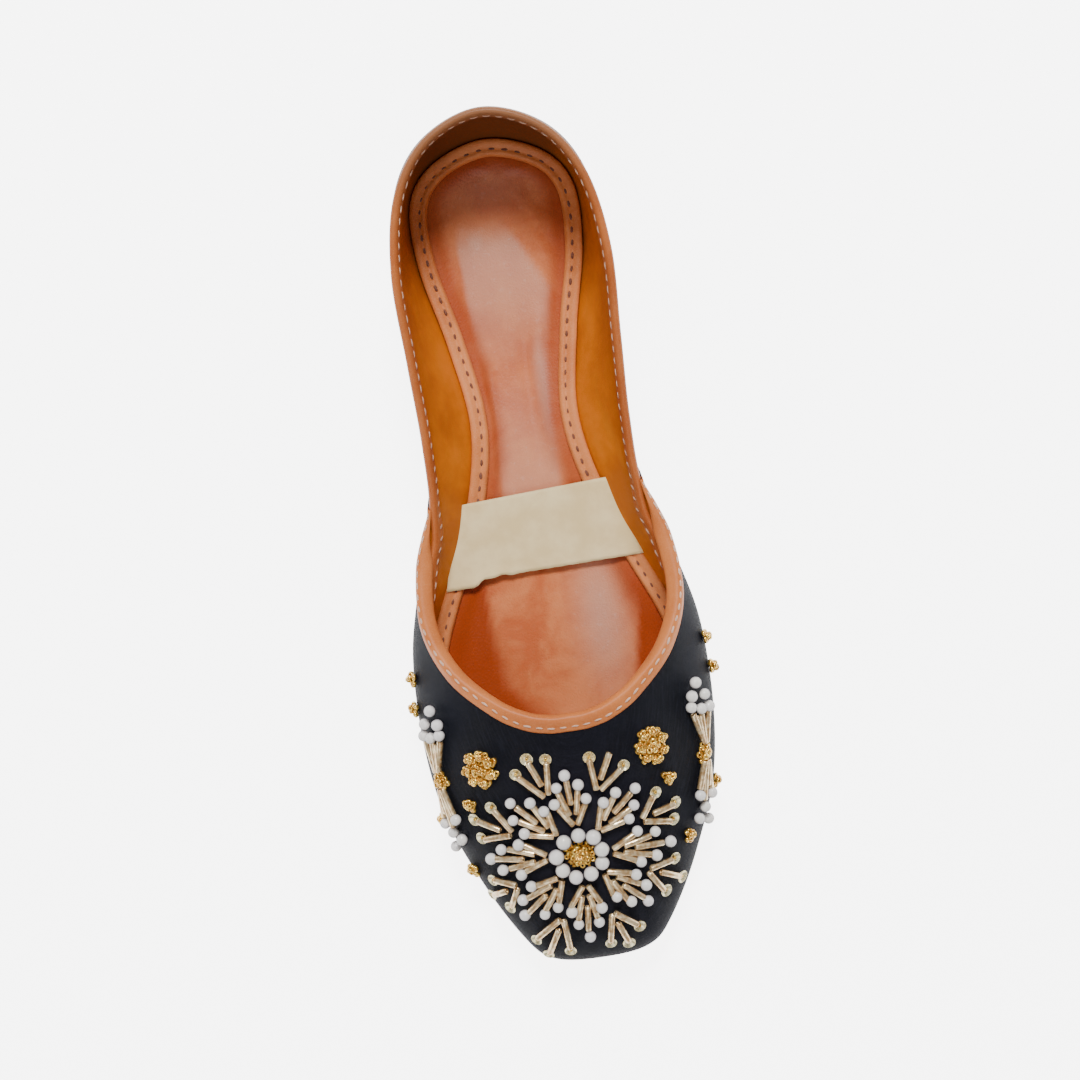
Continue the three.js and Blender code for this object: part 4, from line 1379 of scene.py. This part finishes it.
def addHeap(place, heap):
    cut = heapCut
    centre, out = place
    reach, count = heap
    side = unit(np.cross(out, [0.0, 1.0, 0.02]))
    other = np.cross(out, side)
    radius = beadCut["seedRadius"]
    shiftStray, tiltStray = cut["shiftStray"], cut["tiltStray"]
    firstLift, layerLift = cut["lift"]
    for layer in range(cut["layers"]):
        spread = reach * (1 - cut["narrower"] * layer)
        number = max(1, int(count * (1 - cut["fewer"] * layer)))
        for k in range(number):
            r = spread * math.sqrt((k + cut["firstRing"]) / number)
            a = k * cut["turn"] + layer * cut["layerTurn"]
            shift = side * (r * math.cos(a) + stray(shiftStray))
            shift = shift + other * (r * math.sin(a) + stray(shiftStray))
            lift = radius * firstLift + layer * radius * layerLift - cut["slump"] * r * r
            tilt = unit(out + side * stray(tiltStray) + other * stray(tiltStray))
            seeds.append((centre + shift + out * (lift + stray(cut["liftStray"])), tilt))


def sewRosette():
    cut = beadCut
    radius = cut["ringPearl"]
    turnStray, outStray = cut["ringStray"]
    for k in range(cut["ringCount"]):
        bearing = 360 * (k + 1) / cut["ringCount"] + stray(turnStray)
        out = cut["ringRadius"] + stray(outStray)
        pearls.append((*onBearing(bearing, out, 0, radius + cut["pearlLift"]), radius))
    addHeap(onBearing(0, 0, 0, 0.0), cut["centreHeap"])
    lift = cut["bugleRadius"] + cut["topLift"]
    radius = cut["petalPearl"]
    leanStart, leanRun = cut["petalLean"]
    startStray, endStray = cut["bugleStray"]
    for bearing, reach, lean in cut["petals"]:
        def leant(out, across):
            return across + lean * (out - leanStart) / leanRun

        for o, a in cut["petalPearls"]:
            out = o * reach + stray(cut["petalStray"])
            across = leant(o, a) + stray(cut["petalStray"])
            pearls.append((*onBearing(bearing, out, across, radius + cut["pearlLift"]), radius))
        for o, a, endO, endA in cut["petalBugles"]:
            start = onBearing(bearing, o * reach, leant(o, a) + stray(startStray), lift)
            end = onBearing(bearing, endO * reach, leant(endO, endA) + stray(endStray), lift)
            bugles.append((start, end))
    foot, spread = cut["sprigFoot"]
    widest = cut["sprigTips"][0][1]
    for bearing, share, tips in cut["sprigs"]:
        for k, (o, a) in enumerate(cut["sprigTips"]):
            o, a = o * share + stray(cut["sprigStray"]), a + stray(cut["sprigStray"])
            start = foot + (cut["middleFoot"] if k == 2 else 0)
            bugles.append((onBearing(bearing, start, a * spread / widest, lift),
                           onBearing(bearing, o, a, lift)))
            if k < tips:
                sequins.append(onBearing(bearing, o + cut["sequinBeyond"],
                                         a * cut["sequinSpread"], cut["sequinLift"]))


def sewFlowers():
    cut = beadCut
    wide, longway = cut["lobeReach"]
    for half, along in cut["flowers"]:
        addHeap(onTop(half, along, 0.0), cut["flowerHeap"])
        for k in range(cut["lobes"]):
            a = 2 * math.pi * (k + 0.25) / cut["lobes"]
            lobe = onTop(half + wide * math.sin(a), along + longway * math.cos(a), 0.0)
            addHeap(lobe, cut["lobeHeap"])
    for half, along in cut["topClusters"]:
        addHeap(onTop(half, along, 0.0), cut["topHeap"])
    for side in (1, -1):
        for along, height in cut["sideClusters"]:
            addHeap(onSide(side, along, height, 0.0), cut["sideHeap"])


def sewSprays():
    cut = beadCut
    lift = cut["bugleRadius"] + cut["sideLift"]
    radius, tilt = cut["petalPearl"], cut["sprayTilt"]
    alongStray, upStray = cut["sprayStray"]
    for side, (along, height) in cut["sprayAt"].items():
        addHeap(onSide(side, along, height, 0.0), cut["sprayHeap"])
        for a, h in cut["sprayPearls"]:
            place = onSide(side, along + a + stray(alongStray),
                           height + h + tilt * a + stray(upStray), radius + cut["pearlLift"])
            pearls.append((*place, radius))
        for a, h, endA, endH in cut["sprayBugles"]:
            start = onSide(side, along + a, height + h + tilt * a, lift)
            end = onSide(side, along + endA, height + endH + tilt * endA, lift)
            bugles.append((start, end))


sewRosette()
sewFlowers()
sewSprays()
print("beads charted:", len(pearls), "pearls", len(bugles), "bugles", len(seeds), "seeds",
      len(sequins), "sequins")


def columns(rows):
    return (np.array(column) for column in zip(*rows))


def makeBeads():
    cut = beadCut
    # profiles of radius and height
    arc = np.linspace(-math.pi / 2, math.pi / 2, 11)
    ball = [(max(0.09, math.cos(a)), math.sin(a)) for a in arc]
    seed = [(0.3, -0.35), (0.62, -0.62), (1.0, -0.3), (1.0, 0.3), (0.62, 0.62), (0.3, 0.35)]
    tube = [(0.45, -0.5), (0.9, -0.5), (1.0, -0.47), (1.0, 0.47), (0.9, 0.5), (0.45, 0.5)]
    cup = [(0.2, 0.05), (0.32, 0.02), (0.6, 0.1), (0.92, 0.42), (1.0, 0.46), (0.95, 0.36),
           (0.6, 0.0), (0.3, -0.08)]
    p, n, radius = columns(pearls)
    lay = unit(np.cross(n, rng.normal(0, 1, n.shape)))
    pearlShape = turnedShape("pearlShape", ball, 18)
    pearlRow = sew("pearlBeads", pearlShape, pearl, p, n, lay, radius[:, None],
                   uneven=0.05, twist=3.1, seed=21)
    p, n = columns(seeds)
    way = unit(np.cross(n, [0.3, 0.2, 0.9]))
    seedShape = turnedShape("seedShape", seed, 8, True)
    seedRow = sew("seedBeads", seedShape, seedGold, p, way, n, cut["seedRadius"],
                  uneven=0.1, twist=3.1, seed=22)
    starts, n = columns(start for start, end in bugles)
    ends, _ = columns(end for start, end in bugles)
    span = np.linalg.norm(ends - starts, axis=-1)
    girth = np.full(span.shape, cut["bugleRadius"])
    bugleShape = turnedShape("bugleShape", tube, 8, True)
    bugleRow = sew("bugleBeads", bugleShape, bugleGold, (starts + ends) / 2, n,
                   unit(ends - starts), np.stack([girth, girth, span], -1),
                   uneven=0.03, twist=0.3, seed=23)
    p, n = columns(sequins)
    way = unit(np.cross(n, [0.3, 0.9, 0.1]))
    cupShape = turnedShape("cupShape", cup, 12, True)
    cupRow = sew("sequinCups", cupShape, sequinGold, p, way, n, cut["sequinRadius"],
                 uneven=0.06, twist=3.1, seed=24)
    knots = sew("sequinKnots", seedShape, seedGold, p + n * cut["knotLift"], way, n,
                cut["knotRadius"], uneven=0.05, twist=3.1, seed=25)
    for shape in (pearlShape, seedShape, bugleShape, cupShape):
        bpy.data.objects.remove(shape)
    return pearlRow, seedRow, bugleRow, joined("sequins", [cupRow, knots])


pearlBeads, seedBeads, bugleBeads, sequinBeads = makeBeads()
settle(pearlBeads, "pearl", "rosette_pearls", *(f"petal_{k}" for k in range(1, 9)),
       "side_spray_1", "side_spray_2")
settle(seedBeads, "gold_bead", "rosette_gold", "gold_flower_1", "gold_flower_2",
       *(f"gold_cluster_{k}" for k in range(1, 11)))
settle(bugleBeads, "gold_bead")
settle(sequinBeads, "gold_bead", *(f"sprig_{k}" for k in range(1, 9)))

# floor, light and camera
studio = {
    "floorTone": (0.92, 0.92, 0.92),
    "floorGlow": 5.5,
    "floorBounce": 0.4,  # share of the glow that lights the shoe
    "floorSize": 6,
    "floorDrop": 0.0002,
    "cameraAt": (0.4, 14.5, 750.0),
    "aim": (-0.5, 0.0, 20.0),
    "roll": -8.3,
    "lens": 86.7,
    "sensor": 36,
    "sky": 0.37,
    # name, place in metres, size, power
    "lights": [("keyLight", (0.05, 0.8, 1.2), 0.4, 24.0),
               ("fillLight", (-0.3, -0.8, 1.1), 1.1, 6.0)],
    "lightsAim": (0, 0, 0.02),
}


def makeFloor():
    paper = Finish("studioPaper")
    tone = studio["floorTone"]
    color = paper.blend(paper.noise(paper.place(), 400, 2, 0.5), tone,
                        tuple(0.97 * v for v in tone))
    seen = paper.add("ShaderNodeLightPath", out="Is Camera Ray")
    glow = paper.blend(seen, (studio["floorBounce"],) * 3, (1, 1, 1))
    paper.surface(color=color, roughness=0.9, specular=0.1, glow=glow,
                  glowStrength=studio["floorGlow"])
    bpy.ops.mesh.primitive_plane_add(size=studio["floorSize"],
                                     location=(0, 0, -studio["floorDrop"]))
    floor = bpy.context.object
    floor.name = "studioFloor"
    floor.data.materials.append(paper.material)


def makeLights():
    world = bpy.data.worlds.new("studioSky")
    world.use_nodes = True
    sky = world.node_tree.nodes["Background"].inputs
    sky["Color"].default_value = (1, 1, 1, 1)
    sky["Strength"].default_value = studio["sky"]
    bpy.context.scene.world = world
    for name, at, size, power in studio["lights"]:
        light = bpy.data.lights.new(name, "AREA")
        light.shape = "DISK"
        light.size = size
        light.energy = power
        lamp = addObject(name, light)
        lamp.location = at
        ahead = Vector(studio["lightsAim"]) - Vector(at)
        lamp.rotation_euler = ahead.to_track_quat("-Z", "Y").to_euler()


def makeCamera():
    at = Vector(studio["cameraAt"]) * mm
    ahead = (Vector(studio["aim"]) * mm - at).normalized()
    right = ahead.cross(Vector((0, 1, 0))).normalized()
    top = right.cross(ahead)
    turn = math.radians(studio["roll"])
    level = right * math.cos(turn) + top * math.sin(turn)
    upright = level.cross(ahead)
    camera = bpy.data.cameras.new("shoeCamera")
    camera.lens = studio["lens"]
    camera.sensor_width = studio["sensor"]
    camera.clip_start = 0.01
    holder = addObject("shoeCamera", camera)
    frameTurn = Matrix((level, upright, -ahead)).transposed()
    holder.matrix_world = Matrix.Translation(at) @ frameTurn.to_4x4()
    bpy.context.scene.camera = holder


makeFloor()
makeLights()
makeCamera()
print("studio ready")
